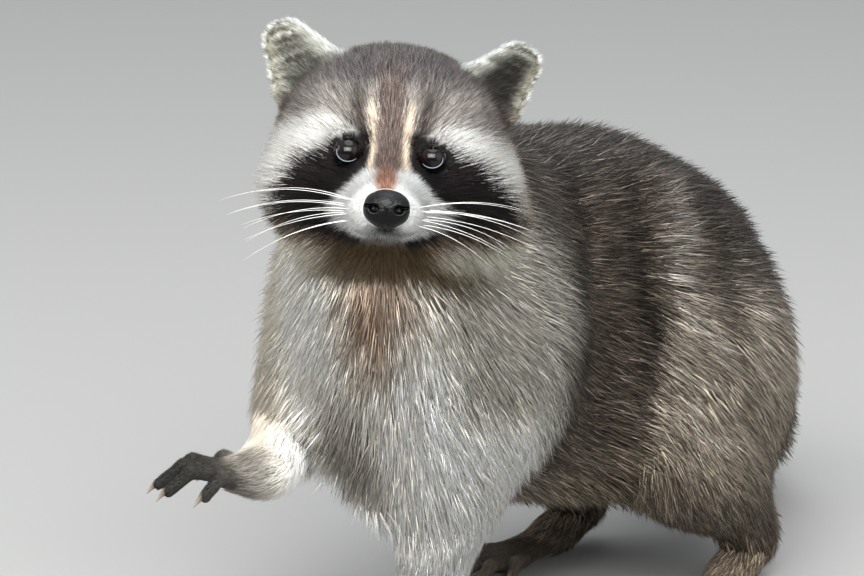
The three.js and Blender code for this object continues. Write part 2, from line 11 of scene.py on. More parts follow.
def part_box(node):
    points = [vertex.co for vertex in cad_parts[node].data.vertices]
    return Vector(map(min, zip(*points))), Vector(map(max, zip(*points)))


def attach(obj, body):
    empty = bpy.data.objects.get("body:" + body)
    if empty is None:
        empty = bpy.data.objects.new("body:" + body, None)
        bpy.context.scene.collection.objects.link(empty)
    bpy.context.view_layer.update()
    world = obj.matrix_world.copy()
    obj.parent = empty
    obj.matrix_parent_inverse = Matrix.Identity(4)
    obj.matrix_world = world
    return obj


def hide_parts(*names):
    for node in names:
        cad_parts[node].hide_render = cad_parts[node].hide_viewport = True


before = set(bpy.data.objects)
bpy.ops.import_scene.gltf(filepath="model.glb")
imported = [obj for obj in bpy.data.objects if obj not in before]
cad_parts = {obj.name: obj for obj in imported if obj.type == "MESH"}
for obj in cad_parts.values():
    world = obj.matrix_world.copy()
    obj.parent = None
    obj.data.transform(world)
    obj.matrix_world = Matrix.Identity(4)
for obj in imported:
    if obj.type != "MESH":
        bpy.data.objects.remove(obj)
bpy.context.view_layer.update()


T0 = time.time()


def tell(what):
    print(f"[{time.time() - T0:5.1f} s] {what}")


# ------------------------------------------------------------------ frames
# Everything is worked out in millimetres in the design frame (x to the animal's left, y to its tail), then moved into the row frame.
YAW, PITCH, ROLL = math.radians(36), math.radians(15), math.radians(4.5)


def unit(v):
    v = np.asarray(v, float)
    return v / np.linalg.norm(v)


def units(v):
    return v / np.maximum(np.linalg.norm(v, axis=1), 1e-9)[:, None]


FORE = np.array([math.sin(YAW) * math.cos(PITCH), -math.cos(YAW) * math.cos(PITCH), math.sin(PITCH)])   # where the face looks
SIDE = np.array([math.cos(YAW), math.sin(YAW), 0.0])
RISE = np.cross(FORE, SIDE)
EYES = np.array([37.0, -136.0, 305.0])                # midway between the eyes
HEAD = (np.stack([math.cos(ROLL) * SIDE - math.sin(ROLL) * RISE, -FORE, math.sin(ROLL) * SIDE + math.cos(ROLL) * RISE], 1), EYES)
BODY = (np.eye(3), np.zeros(3))
EYE_OUT, EYE_BACK, EYE_R = 21.0, -2.5, 7.5


def place(F, p):
    return F[0] @ np.asarray(p, float) + F[1]


def within(F, P):
    return (P - F[1]) @ F[0]


def frame_from(o, fwd, up):
    y = -unit(fwd)
    x = unit(np.cross(y, up))
    return (np.stack([x, y, np.cross(x, y)], 1), np.asarray(o, float))


def euler(rx, ry, rz):
    rx, ry, rz = map(math.radians, (rx, ry, rz))
    cx, sx, cy, sy, cz, sz = math.cos(rx), math.sin(rx), math.cos(ry), math.sin(ry), math.cos(rz), math.sin(rz)
    return (np.array([[cz, -sz, 0], [sz, cz, 0], [0, 0, 1]]) @ np.array([[cy, 0, sy], [0, 1, 0], [-sy, 0, cy]])
            @ np.array([[1, 0, 0], [0, cx, -sx], [0, sx, cx]]))


H = lambda x, y, z: place(HEAD, (x, y, z))

# ------------------------------------------------------------------ the body's masses
# fur = (depth of the coat, length of a tuft, its width, tufts per square millimetre)
MASSES = []


class Mass:
    pass


def cone(name, F, a, b, ra, rb, k, fur, group, flat=None):
    p = Mass()
    p.name, p.kind, p.k, p.fur, p.group, p.hollow = name, "cone", k, fur, group, None
    p.a, p.b, p.ra, p.rb = place(F, a), place(F, b), ra, rb
    p.flat = None if flat is None else (unit(F[0] @ np.asarray(flat[0], float)), flat[1])
    p.lo, p.hi = np.minimum(p.a - ra, p.b - rb), np.maximum(p.a + ra, p.b + rb)
    p.along = unit(p.b - p.a)
    MASSES.append(p)
    return p


def ell(name, F, c, r, k, fur, group, rot=(0, 0, 0)):
    p = Mass()
    p.name, p.kind, p.k, p.fur, p.group, p.hollow = name, "ell", k, fur, group, None
    p.c, p.r, p.M = place(F, c), np.asarray(r, float), F[0] @ euler(*rot)
    reach = np.sqrt(((p.M * p.r) ** 2).sum(1))
    p.lo, p.hi = p.c - reach, p.c + reach
    p.along = None
    MASSES.append(p)
    return p


TRUNK, CHEST, BELLY, SHOULDER = (14, 35, 1.08, .62), (14, 37, .98, .74), (14, 30, 1.4, .34), (12, 33, 1.0, .74)
cone("trunk_front", BODY, (-2, -52, 207), (-14, 36, 200.5), 77, 79, 40, TRUNK, "trunk")
cone("trunk_mid", BODY, (-14, 36, 200.5), (-13, 98, 184), 79, 85.7, 14, (15, 35, 1.08, .60), "trunk")
cone("trunk_rear", BODY, (-13, 98, 184), (-10, 150, 163), 85.7, 84.8, 14, (16, 36, 1.08, .59), "trunk")
ell("chest_front", BODY, (18, -97, 174), (60, 40, 80), 36, CHEST, "chest", rot=(0, 0, 20))
cone("belly", BODY, (0, 0, 143), (0, 84, 120), 61, 64, 40, BELLY, "belly")
ell("rump", BODY, (-3, 154, 138), (77, 68, 82.6), 24, (16, 36, 1.08, .56), "trunk")
ell("shoulder_left", BODY, (46, -50, 182), (38, 45, 58), 30, SHOULDER, "chest")
ell("shoulder_right", BODY, (-36, -80, 185), (34, 40, 58), 30, SHOULDER, "chest")
cone("nape", BODY, H(0, 45, -5), (2, -50, 222), 54, 70, 34, (12, 30, 1.15, .62), "neck")
cone("throat", BODY, H(0, 36, -28), (16, -100, 208), 38, 46, 30, (12, 32, 1.15, .66), "neck")
ell("cranium", HEAD, (0, 40, 10), (55, 38, 46), 30, (7, 10.0, .52, 3.0), "head")
ell("brow", HEAD, (0, 21, 10), (40, 20, 24), 16, (4, 7.6, .46, 4.6), "head")
for s in (1, -1):
    ell("cheek", HEAD, (s * 37.8 + 1.8, 30, -18), (31, 32, 28), 20, (12, 21, .66, 2.4), "head")
    ell("under_eye", HEAD, (s * 27, 20, -16), (18, 18, 16), 12, (3, 8, .48, 4.0), "head")
cone("face", HEAD, (0, 12, -19), (0, -37, -27), 26.5, 13.5, 14, (3, 5.6, .42, 4.6), "face")
for s in (1, -1):
    ell("whisker_pad", HEAD, (s * 9, -31, -30), (12, 17, 10.5), 9, (3, 5.2, .40, 5.0), "face")
cone("chin", HEAD, (0, -2, -31), (0, -35, -36), 15.5, 8.6, 8, (3, 4.8, .42, 4.2), "face")
ell("throat_ruff", HEAD, (0, 30, -22), (54, 34, 27), 24, (12, 23, .8, 1.6), "head")
EAR = {}
for s in (1, -1):
    n = unit((s * 0.30, -0.94, 0.10))
    a, b = ((48, 41, 37), (59.5, 46, 51.8)) if s > 0 else ((-44.5, 41, 38.5), (-56, 46, 54))
    ra, rb = (21, 14.2) if s > 0 else (22.5, 14.8)
    e = cone("ear", HEAD, a, b, ra, rb, 6, (1.5, 5.6, .42, 4.0), "ear", flat=(n, .30))
    e.hollow = cone("hollow", HEAD, np.array(a) + n * 7, np.array(b) + n * 5, ra - 3.5, rb - 3, 6, (1.5, 5.4, .42, 4.0), "ear", flat=(n, .36))
    MASSES.pop()
    e.side = s
    EAR[s] = (np.array(a, float), np.array(b, float), n, ra, rb)
cone("upper_arm_left", BODY, (46, -50, 186), (28, -72, 118), 36, 27, 24, (8, 27, 1.1, .66), "limb")
cone("forearm_left", BODY, (28, -72, 118), (22, -92, 28), 27, 14.5, 20, (6, 18, .95, .9), "limb")
cone("upper_arm_right", BODY, (-36, -84, 190), (-61, -78, 142), 32, 27, 24, (9, 31, 1.1, .80), "limb")
cone("forearm_right", BODY, (-61, -78, 142), (-31, -151, 131), 27, 14.5, 20, (6.5, 24, .95, .95), "limb")
CLAWS, DIGITS = [], []


def paw(tag, o, fwd, up, hind=False, curl=0.0):
    F = frame_from(o, fwd, up)
    if hind:
        p = cone("palm", F, (0, 8, 2), (0, -38, -1), 13, 13.5, 8, (2, 6.5, .6, 1.6), "paw", flat=((0, 0, 1), .66))
        rays = [(-12, -32, -.32, 18), (-7, -44, -.15, 24), (0, -46, 0, 27), (7, -44, .15, 24), (12, -32, .32, 18)]
    else:
        p = cone("palm", F, (0, 0, 0), (0, -16, -1), 12, 12.5, 8, (1.5, 4.6, .5, 2.1), "paw", flat=((0, 0, 1), .68))
        rays = [(-11.5, -8, -.42, 22), (-6.5, -20, -.20, 28), (0, -22, 0, 31), (6.5, -20, .20, 28), (11.5, -8, .42, 22)]
    p.up = F[0][:, 2]
    for x, y, a, length in rays:
        P = lambda t, z: (x + math.sin(a) * t, y - math.cos(a) * t, z)
        rise = 1.8 + curl * 2
        end = P(length * (1 - .06 * curl), -3.6 - 6 * curl)
        for d in (cone("digit", F, P(0, 0), P(length * .55, rise), 5.2, 4.6, 3, (.8, 2.4, .36, 2.0), "paw"),
                  cone("digit", F, P(length * .55, rise), end, 4.6, 4.0, 2, (.8, 2.0, .34, 2.0), "paw")):
            d.up = F[0][:, 2]
        DIGITS.append((place(F, P(length * .55, rise)), place(F, end), F[0][:, 2]))
        CLAWS.append((place(F, P(length * (1 - .06 * curl), -2.6 - 6 * curl)), place(F, P((length + 8) * (1 - .12 * curl), -5.8 - 11 * curl)), F[0][:, 2]))
    return F


paw("right", (-33, -155, 131), (-.80, -.60, .02), (0, 0, 1), curl=.6)
paw("left", (22, -94, 7.2), (.10, -.99, 0), (0, 0, 1))
cone("wrist_right", BODY, (-31, -151, 131), (-36, -157, 130), 14, 11.5, 10, (3, 9, .75, 1.2), "limb")
for s, sx in ((1, 1.0), (-1, .95)):
    ell("thigh", BODY, (s * 54 * sx, 136, 118), (42, 70, 72), 34, (12, 32, 1.2, .56), "thigh", rot=(-20, 0, 0))
    cone("shank", BODY, (s * 66 * sx, 98, 92), (s * 60 * sx, 178, 34), 34, 17, 22, (8, 24, 1.1, .60), "thigh")
    cone("hock", BODY, (s * 60 * sx, 182, 23), (s * 62 * sx, 150, 12), 15, 13, 10, (4, 12, .85, .9), "limb")
    paw("hind", (s * 63 * sx, 146, 7.2), (s * .14 * sx, -.99, 0), (0, 0, 1), True)
TAIL = np.array([(-3, 210, 122), (-8, 256, 82), (-34, 300, 48), (-94, 326, 40), (-160, 320, 39), (-214, 294, 35)], float)
TAIL_R = (38, 41, 41, 41, 40, 30)
for i in range(5):
    cone("tail", BODY, TAIL[i], TAIL[i + 1], TAIL_R[i], TAIL_R[i + 1], 16, (14, 33, 1.2, .42), "tail")

EYE = {s: place(HEAD, (s * EYE_OUT, EYE_BACK, 0)) for s in (1, -1)}
lo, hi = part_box("eye_left")
SHIFT = (np.array(lo) + np.array(hi)) * 500 - EYE[1]       # design frame to row frame, in mm


# ------------------------------------------------------------------ fields
def smin(a, b, k):
    h = np.maximum(k - np.abs(a - b), 0) / k
    return np.minimum(a, b) - h * h * k * 0.25


def smax(a, b, k):
    return -smin(-a, -b, k)


def reach(p, P):
    """Distance to one mass, less than nothing inside it."""
    if p.kind == "cone":
        pa, ba = P - p.a, p.b - p.a
        if p.flat is not None:
            n, f = p.flat
            pa = pa + (pa @ n)[:, None] * n * (1 / f - 1)
            ba = ba + (ba @ n) * n * (1 / f - 1)
        t = np.clip((pa @ ba) / (ba @ ba), 0, 1)
        q = pa - t[:, None] * ba
        size = np.sqrt((q * q).sum(1))
        d = size - (p.ra + (p.rb - p.ra) * t)
        if p.flat is not None:
            qn = (q @ n) / np.maximum(size, 1e-6)
            d = d / np.sqrt(1 + qn * qn * (1 / (f * f) - 1))
    else:
        q = (P - p.c) @ p.M
        k0 = np.sqrt(((q / p.r) ** 2).sum(1))
        d = k0 * (k0 - 1) / np.maximum(np.sqrt(((q / (p.r * p.r)) ** 2).sum(1)), 1e-9)
    if p.hollow is not None:
        d = smax(d, -reach(p.hollow, P), 2.0)
    return d


SPREAD = 5.0


def yields(p, P):
    """The neck's coat gives way to the head's own coat in front of the ears and above the throat."""
    if p.group != "neck":
        return 1.0
    q = within(HEAD, P)
    return .002 + .998 * np.maximum(ramp(36, 62, q[:, 1]), ramp(50, 64, -q[:, 2]))


def coat_and_depth(P):
    """The coat's own surface and how deep the coat is, at points."""
    D, W, WD = np.full(len(P), 1e3), np.full(len(P), 1e-12), np.zeros(len(P))
    for p in MASSES:
        m = p.k + 18
        i = np.flatnonzero(((P > p.lo - m) & (P < p.hi + m)).all(1))
        if len(i):
            e = reach(p, P[i])
            D[i] = smin(D[i], e, p.k)
            w = np.exp(-np.clip(e / SPREAD, -30, 30)) * yields(p, P[i])
            W[i] += w
            WD[i] += w * p.fur[0]
    return D, WD / W


def folds(P):
    """Three upright folds behind the shoulder, and the swell between them, on both sides of the trunk."""
    x, y, z = P.T
    mid = np.interp(y, [-60, 60, 150], [4, -14, -8])
    out = np.abs(x - mid)
    wob = 5 * np.sin(z / 17 + 1.3) + 3 * np.sin(z / 8.3 + x / 30)
    f1 = np.exp(-((y - (-28 + np.maximum(0, z - 222) * 1.1) + wob) / 9.5) ** 2) * ramp(25, 55, out) * ramp(100, 140, z) * (1 - ramp(262, 280, z))
    f2 = np.exp(-((y - (49 + np.maximum(0, z - 222) * .6) + wob) / 7.5) ** 2) * ramp(35, 60, out) * ramp(110, 150, z) * (1 - ramp(245, 265, z))
    f3 = np.exp(-((y - (118 + np.maximum(0, z - 215) * .6) - wob) / 7.0) ** 2) * ramp(35, 60, out) * ramp(120, 150, z) * (1 - ramp(225, 245, z))
    swell = np.exp(-((y - 90 - .35 * (z - 212) + wob) / 12) ** 2) * ramp(35, 60, out) * ramp(140, 178, z) * (1 - ramp(236, 262, z))
    return f1, f2, f3, swell


def ramp(a, b, x):
    t = np.clip((x - a) / (b - a), 0, 1)
    return t * t * (3 - 2 * t)


def furrow(P, V):
    f1, f2, f3, swell = folds(P)
    return V + 6.5 * f1 + 5.5 * f2 + 3.0 * f3 - 2.5 * swell


def eye_lids(P, V):
    """Lids round each eye, and the opening between them."""
    q = within(HEAD, P)
    for s in (1, -1):
        du, dy, dv = (q[:, 0] - s * EYE_OUT), q[:, 1] - EYE_BACK, q[:, 2]
        i = np.flatnonzero((np.abs(du) < 20) & (np.abs(dy) < 20) & (np.abs(dv) < 20))
        if not len(i):
            continue
        du, dy, dv, v = du[i], dy[i], dv[i], V[i]
        r = np.sqrt(du * du + dy * dy + dv * dv)
        upper = np.where(dv > 0, .35, 0)
        v = smin(v, r - 8.3 - upper, 3.0)                                   # the lids follow the ball
        ring = np.sqrt(du * du + dv * dv)
        v = v + 0.22 * np.exp(-((ring - 9.8) / 1.0) ** 2) * (dy < 2)        # the crease round them
        mu = du * s                                                          # outwards is positive
        half = np.where(dv > 0, 4.45, 4.85) - 0.25 * (mu / 6) ** 2
        slot = np.sqrt((np.abs(mu) / 5.8) ** 1.75 + (dv / half) ** 2)
        inner = np.sqrt(((mu + 6.3) / 2.1) ** 2 + ((dv + 1.2) / .9) ** 2)    # the inner corner
        cut = np.minimum((slot - 1) * 5.6, (inner - 1) * .9)
        cut = np.maximum(cut, dy + 1.0)
        cut = np.minimum(cut, r - EYE_R - .12)
        V[i] = smax(v, -cut, .5)
    return V


MOUTH = [(-21, -14, -34.5), (-17.5, -25, -37.6), (-11, -35, -39.0), (-4, -42, -38.8), (0, -45.5, -38.2)]
MOUTH += [(-x, y, z) for x, y, z in MOUTH[-2::-1]]
MOUTH = np.array(MOUTH, float) + (1.0, 0, 0)


def to_path(q, path):
    best = np.full(len(q), 1e3)
    for a, b in zip(path[:-1], path[1:]):
        ba = b - a
        t = np.clip(((q - a) @ ba) / (ba @ ba), 0, 1)
        best = np.minimum(best, np.linalg.norm(q - a - t[:, None] * ba, axis=1))
    return best


def mouth(P, V):
    q = within(HEAD, P)
    i = np.flatnonzero((np.abs(q[:, 0]) < 30) & (q[:, 1] < -5) & (q[:, 2] < -20) & (q[:, 1] > -60))
    if len(i):
        d = to_path(q[i], MOUTH)
        cleft = np.hypot(q[i, 0] - 1.0, np.minimum(0, q[i, 2] + 38.5)) + 50 * (q[i, 1] > -38)          # the cleft under the nose
        V[i] = V[i] + 1.5 * np.exp(-(d / 1.15) ** 2) + .7 * np.exp(-(cleft / .8) ** 2)
    return V


def skin_field(P, fine=True):
    D, depth = coat_and_depth(P)
    V = furrow(P, D + depth)
    V = mouth(P, eye_lids(P, V)) if fine else V
    return np.maximum(V, 0.45 - P[:, 2])


def gradient(fn, P, eps):
    g = np.empty_like(P)
    for k in range(3):
        d = np.zeros(3)
        d[k] = eps
        g[:, k] = (fn(P + d) - fn(P - d)) / (2 * eps)
    return g


# ------------------------------------------------------------------ surface nets and refinement
def nets(V, lo, h):
    n = np.array(V.shape)
    c = n - 1
    S = V < 0
    off = [(i, j, k) for i in (0, 1) for j in (0, 1) for k in (0, 1)]
    cor = [S[i:i + c[0], j:j + c[1], k:k + c[2]] for i, j, k in off]
    act = np.logical_or.reduce(cor) & ~np.logical_and.reduce(cor)
    idx = np.full(c, -1, np.int64)
    I = np.argwhere(act)
    idx[act] = np.arange(len(I))
    acc, cnt = np.zeros((len(I), 3)), np.zeros(len(I))
    for a in range(8):
        for b in range(a + 1, 8):
            if sum(x != y for x, y in zip(off[a], off[b])) != 1:
                continue
            va, vb = V[tuple((I + off[a]).T)], V[tuple((I + off[b]).T)]
            m = (va < 0) != (vb < 0)
            t = np.where(m, va / np.where(m, va - vb, 1), 0)
            q = np.array(off[a]) + t[:, None] * (np.array(off[b]) - np.array(off[a]))
            acc += np.where(m[:, None], q, 0)
            cnt += m
    verts = lo + h * (I + acc / cnt[:, None])
    quads = []
    for ax in range(3):
        o1, o2 = (ax + 1) % 3, (ax + 2) % 3
        s0 = [slice(1, c[i]) for i in range(3)]
        s0[ax] = slice(0, c[ax])
        s1 = list(s0)
        s1[ax] = slice(1, c[ax] + 1)
        A, Bq = S[tuple(s0)], S[tuple(s1)]
        for flip, m in ((False, A & ~Bq), (True, ~A & Bq)):
            E = np.argwhere(m)
            base = E.copy()
            base[:, o1] += 1
            base[:, o2] += 1

            def cell(d1, d2):
                q = base.copy()
                q[:, o1] += d1
                q[:, o2] += d2
                return idx[tuple(q.T)]
            q = np.stack([cell(-1, -1), cell(0, -1), cell(0, 0), cell(-1, 0)], 1)
            quads.append(q[:, ::-1] if flip else q)
    q = np.concatenate(quads)
    d1 = np.linalg.norm(verts[q[:, 0]] - verts[q[:, 2]], axis=1)
    d2 = np.linalg.norm(verts[q[:, 1]] - verts[q[:, 3]], axis=1)
    q = np.where((d1 <= d2)[:, None], q, np.roll(q, -1, 1))
    return verts, np.concatenate([q[:, [0, 1, 2]], q[:, [0, 2, 3]]])


def grid_field(lo, hi, h, extra):
    """The skin's field on a grid, each mass worked out only in its own box."""
    n = np.ceil((hi - lo) / h).astype(int) + 1
    ax = [lo[i] + h * np.arange(n[i]) for i in range(3)]
    D, W, WD = np.full(n, 1e3), np.full(n, 1e-12), np.zeros(n)
    for p in MASSES:
        m = p.k + 3 * h + 4
        i0 = np.clip(np.floor((p.lo - m - lo) / h).astype(int), 0, n - 1)
        i1 = np.clip(np.ceil((p.hi + m - lo) / h).astype(int) + 1, 1, n)
        if (i1 <= i0).any():
            continue
        s = tuple(slice(a, b) for a, b in zip(i0, i1))
        G = np.stack(np.meshgrid(*[ax[i][s[i]] for i in range(3)], indexing="ij"), -1)
        e = reach(p, G.reshape(-1, 3)).reshape(G.shape[:3])
        D[s] = smin(D[s], e, p.k)
        w = np.exp(-np.clip(e / SPREAD, -30, 30))
        W[s] += w
        WD[s] += w * p.fur[0]
    V = D + WD / W
    near = np.abs(V) < 4.4 * h
    at = np.argwhere(near)
    P = lo + h * at
    V[near] = extra(P, V[near])
    V[V > 500] = 500
    V = np.maximum(V, 0.45 - ax[2][None, None, :])
    return V


def refine(V, T, target, rounds):
    """Halves each edge longer than target says, with no hanging points."""
    for _ in range(rounds):
        e = np.sort(np.stack([T[:, [0, 1]], T[:, [1, 2]], T[:, [2, 0]]], 1).reshape(-1, 2), 1)
        uk, inv = np.unique(e[:, 0] * np.int64(len(V)) + e[:, 1], return_inverse=True)
        a, b = uk // len(V), uk % len(V)
        mid = (V[a] + V[b]) / 2
        flag = np.linalg.norm(V[a] - V[b], axis=1) > target(mid)
        if not flag.any():
            break
        new = np.where(flag, len(V) + np.cumsum(flag) - 1, -1)
        M = new[inv].reshape(-1, 3)
        V = np.concatenate([V, mid[flag]])
        count = (M >= 0).sum(1)
        out = [T[count == 0]]
        t, m = T[count == 3], M[count == 3]
        out += [np.stack(x, 1) for x in ((t[:, 0], m[:, 0], m[:, 2]), (m[:, 0], t[:, 1], m[:, 1]), (m[:, 2], m[:, 1], t[:, 2]), (m[:, 0], m[:, 1], m[:, 2]))]
        for i in range(3):
            k = (count == 1) & (M[:, i] >= 0)
            t0, t1, t2, m0 = T[k, i], T[k, (i + 1) % 3], T[k, (i + 2) % 3], M[k, i]
            out += [np.stack((t0, m0, t2), 1), np.stack((m0, t1, t2), 1)]
            k = (count == 2) & (M[:, i] < 0)
            j = (i + 1) % 3
            t0, t1, t2, m1, m2 = T[k, j], T[k, (j + 1) % 3], T[k, i], M[k, j], M[k, (j + 1) % 3]
            out += [np.stack((t1, m2, m1), 1), np.stack((t0, m1, m2), 1), np.stack((t0, m2, t2), 1)]
        T = np.concatenate(out)
    return V, T


def settle(V, T, fn, rounds=3, relax=.35, cap=.8):
    """Evens the triangles out along the surface and brings the points onto the field."""
    for r in range(rounds):
        if relax and r < rounds - 1:
            s, c = np.zeros_like(V), np.zeros(len(V))
            for i in range(3):
                for j in (1, 2):
                    np.add.at(s, T[:, i], V[T[:, (i + j) % 3]])
                    np.add.at(c, T[:, i], 1)
            move = s / np.maximum(c, 1)[:, None] - V
            V = V + relax * move
        d = fn(V)
        g = np.stack([(fn(V + np.eye(3)[k] * .3) - d) / .3 for k in range(3)], 1)
        step = d / np.maximum((g * g).sum(1), .09)
        V = V - np.clip(step, -cap, cap)[:, None] * g
    return V


# ------------------------------------------------------------------ which way the coat lies
NOSE_AT = np.array([1.0, -50, -27.6])


def lie_of(p, P):
    """The direction in which the coat of one mass lies, at points."""
    g = p.group
    if g in ("head", "face"):
        q = within(HEAD, P) - (NOSE_AT + (0, 8, 2))
        q[:, 2] -= .10 * np.abs(q[:, 0])
        q[:, 1] *= .8
        return units(q) @ HEAD[0].T
    if g == "ear":
        q = within(HEAD, P)
        a, b, n, ra, rb = EAR[p.side]
        up = unit(b - a)
        out = q - a
        out = out - (out @ n)[:, None] * n
        return units(units(out) * .30 + up * .30 + np.array([p.side * .95, 0, 0])) @ HEAD[0].T
    if g == "tail":
        return np.broadcast_to(p.along, P.shape).copy()
    if g == "limb":
        return np.broadcast_to(unit(p.along + np.array([0, .18, 0])), P.shape).copy()
    if g == "paw":
        return np.broadcast_to(p.along, P.shape).copy()
    z, y, x = P[:, 2], P[:, 1], P[:, 0]
    if g == "thigh":
        return units(np.stack([0 * x, .55 + 0 * x, -.85 + 0 * x], 1)) if p.kind == "ell" else np.broadcast_to(unit(p.along + np.array([0, 0, -.3])), P.shape).copy()
    if g == "belly":
        return units(np.stack([0 * x, 1 + 0 * x, -.3 + 0 * x], 1))
    if g == "neck":
        side = (P - (10, -100, 240)) @ SIDE
        down = np.clip((290 - z) / 70, 0, 1)
        return units(side[:, None] / 60 * SIDE * .9 + np.stack([0 * x, .9 - .9 * down, -.15 - 1.0 * down], 1))
    if g == "chest":
        across = np.array([math.cos(math.radians(20)), math.sin(math.radians(20)), 0])
        s = (P - (25, -110, 200)) @ across
        back = np.clip((y + 95) / 70, 0, 1)
        return units(np.tanh(s / 28)[:, None] * across * (.62 * (1 - back))[:, None] + np.stack([0 * x, .10 + .8 * back, -1 + .25 * back], 1))
    down = .18 + .85 * np.clip((205 - z) / 75, 0, 1)
    return units(np.stack([0 * x, 1 + 0 * x, -down], 1))


def furnish(P):
    """At points near the surface: the coat's lie, and its depth, length, width and number per square millimetre, with each group's share."""
    D, _ = coat_and_depth(P)
    W = np.full(len(P), 1e-12)
    F, fur = np.zeros_like(P), np.zeros((len(P), 4))
    groups = {}
    for p in MASSES:
        m = p.k + 18
        i = np.flatnonzero(((P > p.lo - m) & (P < p.hi + m)).all(1))
        if not len(i):
            continue
        e = reach(p, P[i])
        w = np.exp(-np.clip((e - D[i]) / SPREAD, -30, 30)) * yields(p, P[i])
        W[i] += w
        F[i] += w[:, None] * lie_of(p, P[i])
        fur[i] += w[:, None] * np.array(p.fur)
        groups.setdefault(p.group, np.zeros(len(P)))[i] += w
    return units(F), fur / W[:, None], {k: v / W for k, v in groups.items()}


def smooth(a, b, x):
    t = np.clip((x - a) / (b - a), 0, 1)
    return t * t * (3 - 2 * t)


def noise3(P, scale, seed):
    """Smooth noise from -1 to 1 at points: random numbers on a lattice, blended."""
    q = P / scale + 1000
    i = np.floor(q).astype(np.int64)
    f = q - i
    f = f * f * (3 - 2 * f)
    out = np.zeros(len(P))
    for a in (0, 1):
        for b in (0, 1):
            for c in (0, 1):
                h = ((i[:, 0] + a) * 73856093) ^ ((i[:, 1] + b) * 19349663) ^ ((i[:, 2] + c) * 83492791) ^ (seed * 2654435761)
                h = (h ^ (h >> 13)) * 1274126177 & 0xFFFFFFFF
                h = (h ^ (h >> 16)) & 0xFFFF
                w = (f[:, 0] if a else 1 - f[:, 0]) * (f[:, 1] if b else 1 - f[:, 1]) * (f[:, 2] if c else 1 - f[:, 2])
                out += w * (h / 32767.5 - 1)
    return out


# ------------------------------------------------------------------ markings
def srgb(*c):
    c = np.array(c, float) / 255
    return np.where(c <= .04045, c / 12.92, ((c + .055) / 1.055) ** 2.4)


# In this table swell is a painted highlight, fold is painted shade in the creases, hollow is painted shade between the
# forelegs, and throat is brown fur under a painted shadow from the chin.
TONE = dict(
    back=srgb(96, 89, 82), spine=srgb(112, 105, 100), flank=srgb(104, 92, 80), swell=srgb(206, 198, 186), haunch=srgb(196, 184, 168), low=srgb(140, 128, 112),
    fold=srgb(24, 20, 16), chest=srgb(240, 236, 226), shoulder=srgb(134, 128, 118), warm=srgb(138, 111, 88), grey=srgb(88, 88, 82), hollow=srgb(106, 96, 88),
    white=srgb(244, 241, 234), cream=srgb(202, 194, 180), throat=srgb(104, 86, 58),
    crown=srgb(116, 110, 107), occiput=srgb(86, 79, 75), brow=srgb(208, 207, 204), cheek=srgb(248, 241, 230), edge=srgb(206, 184, 166), under=srgb(226, 216, 194),
    rim=srgb(100, 68, 42), stripe=srgb(112, 99, 93), edging=srgb(218, 200, 178), mask=srgb(34, 28, 29), muzzle=srgb(220, 221, 219), rust=srgb(138, 86, 56),
    ear_dark=srgb(104, 100, 88), ear_pale=srgb(206, 208, 198), ear_edge=srgb(152, 148, 132), ear_rim=srgb(204, 206, 204), ear_root=srgb(70, 54, 44))


def blob(P, c, r, soft=.5):
    """1 in the middle of an ellipsoid, fading out at its edge."""
    q = np.sqrt((((P - np.array(c)) / np.array(r)) ** 2).sum(1))
    return 1 - smooth(1 - soft, 1 + soft, q)


def mix(a, b, w):
    return a + (b - a) * w[:, None]


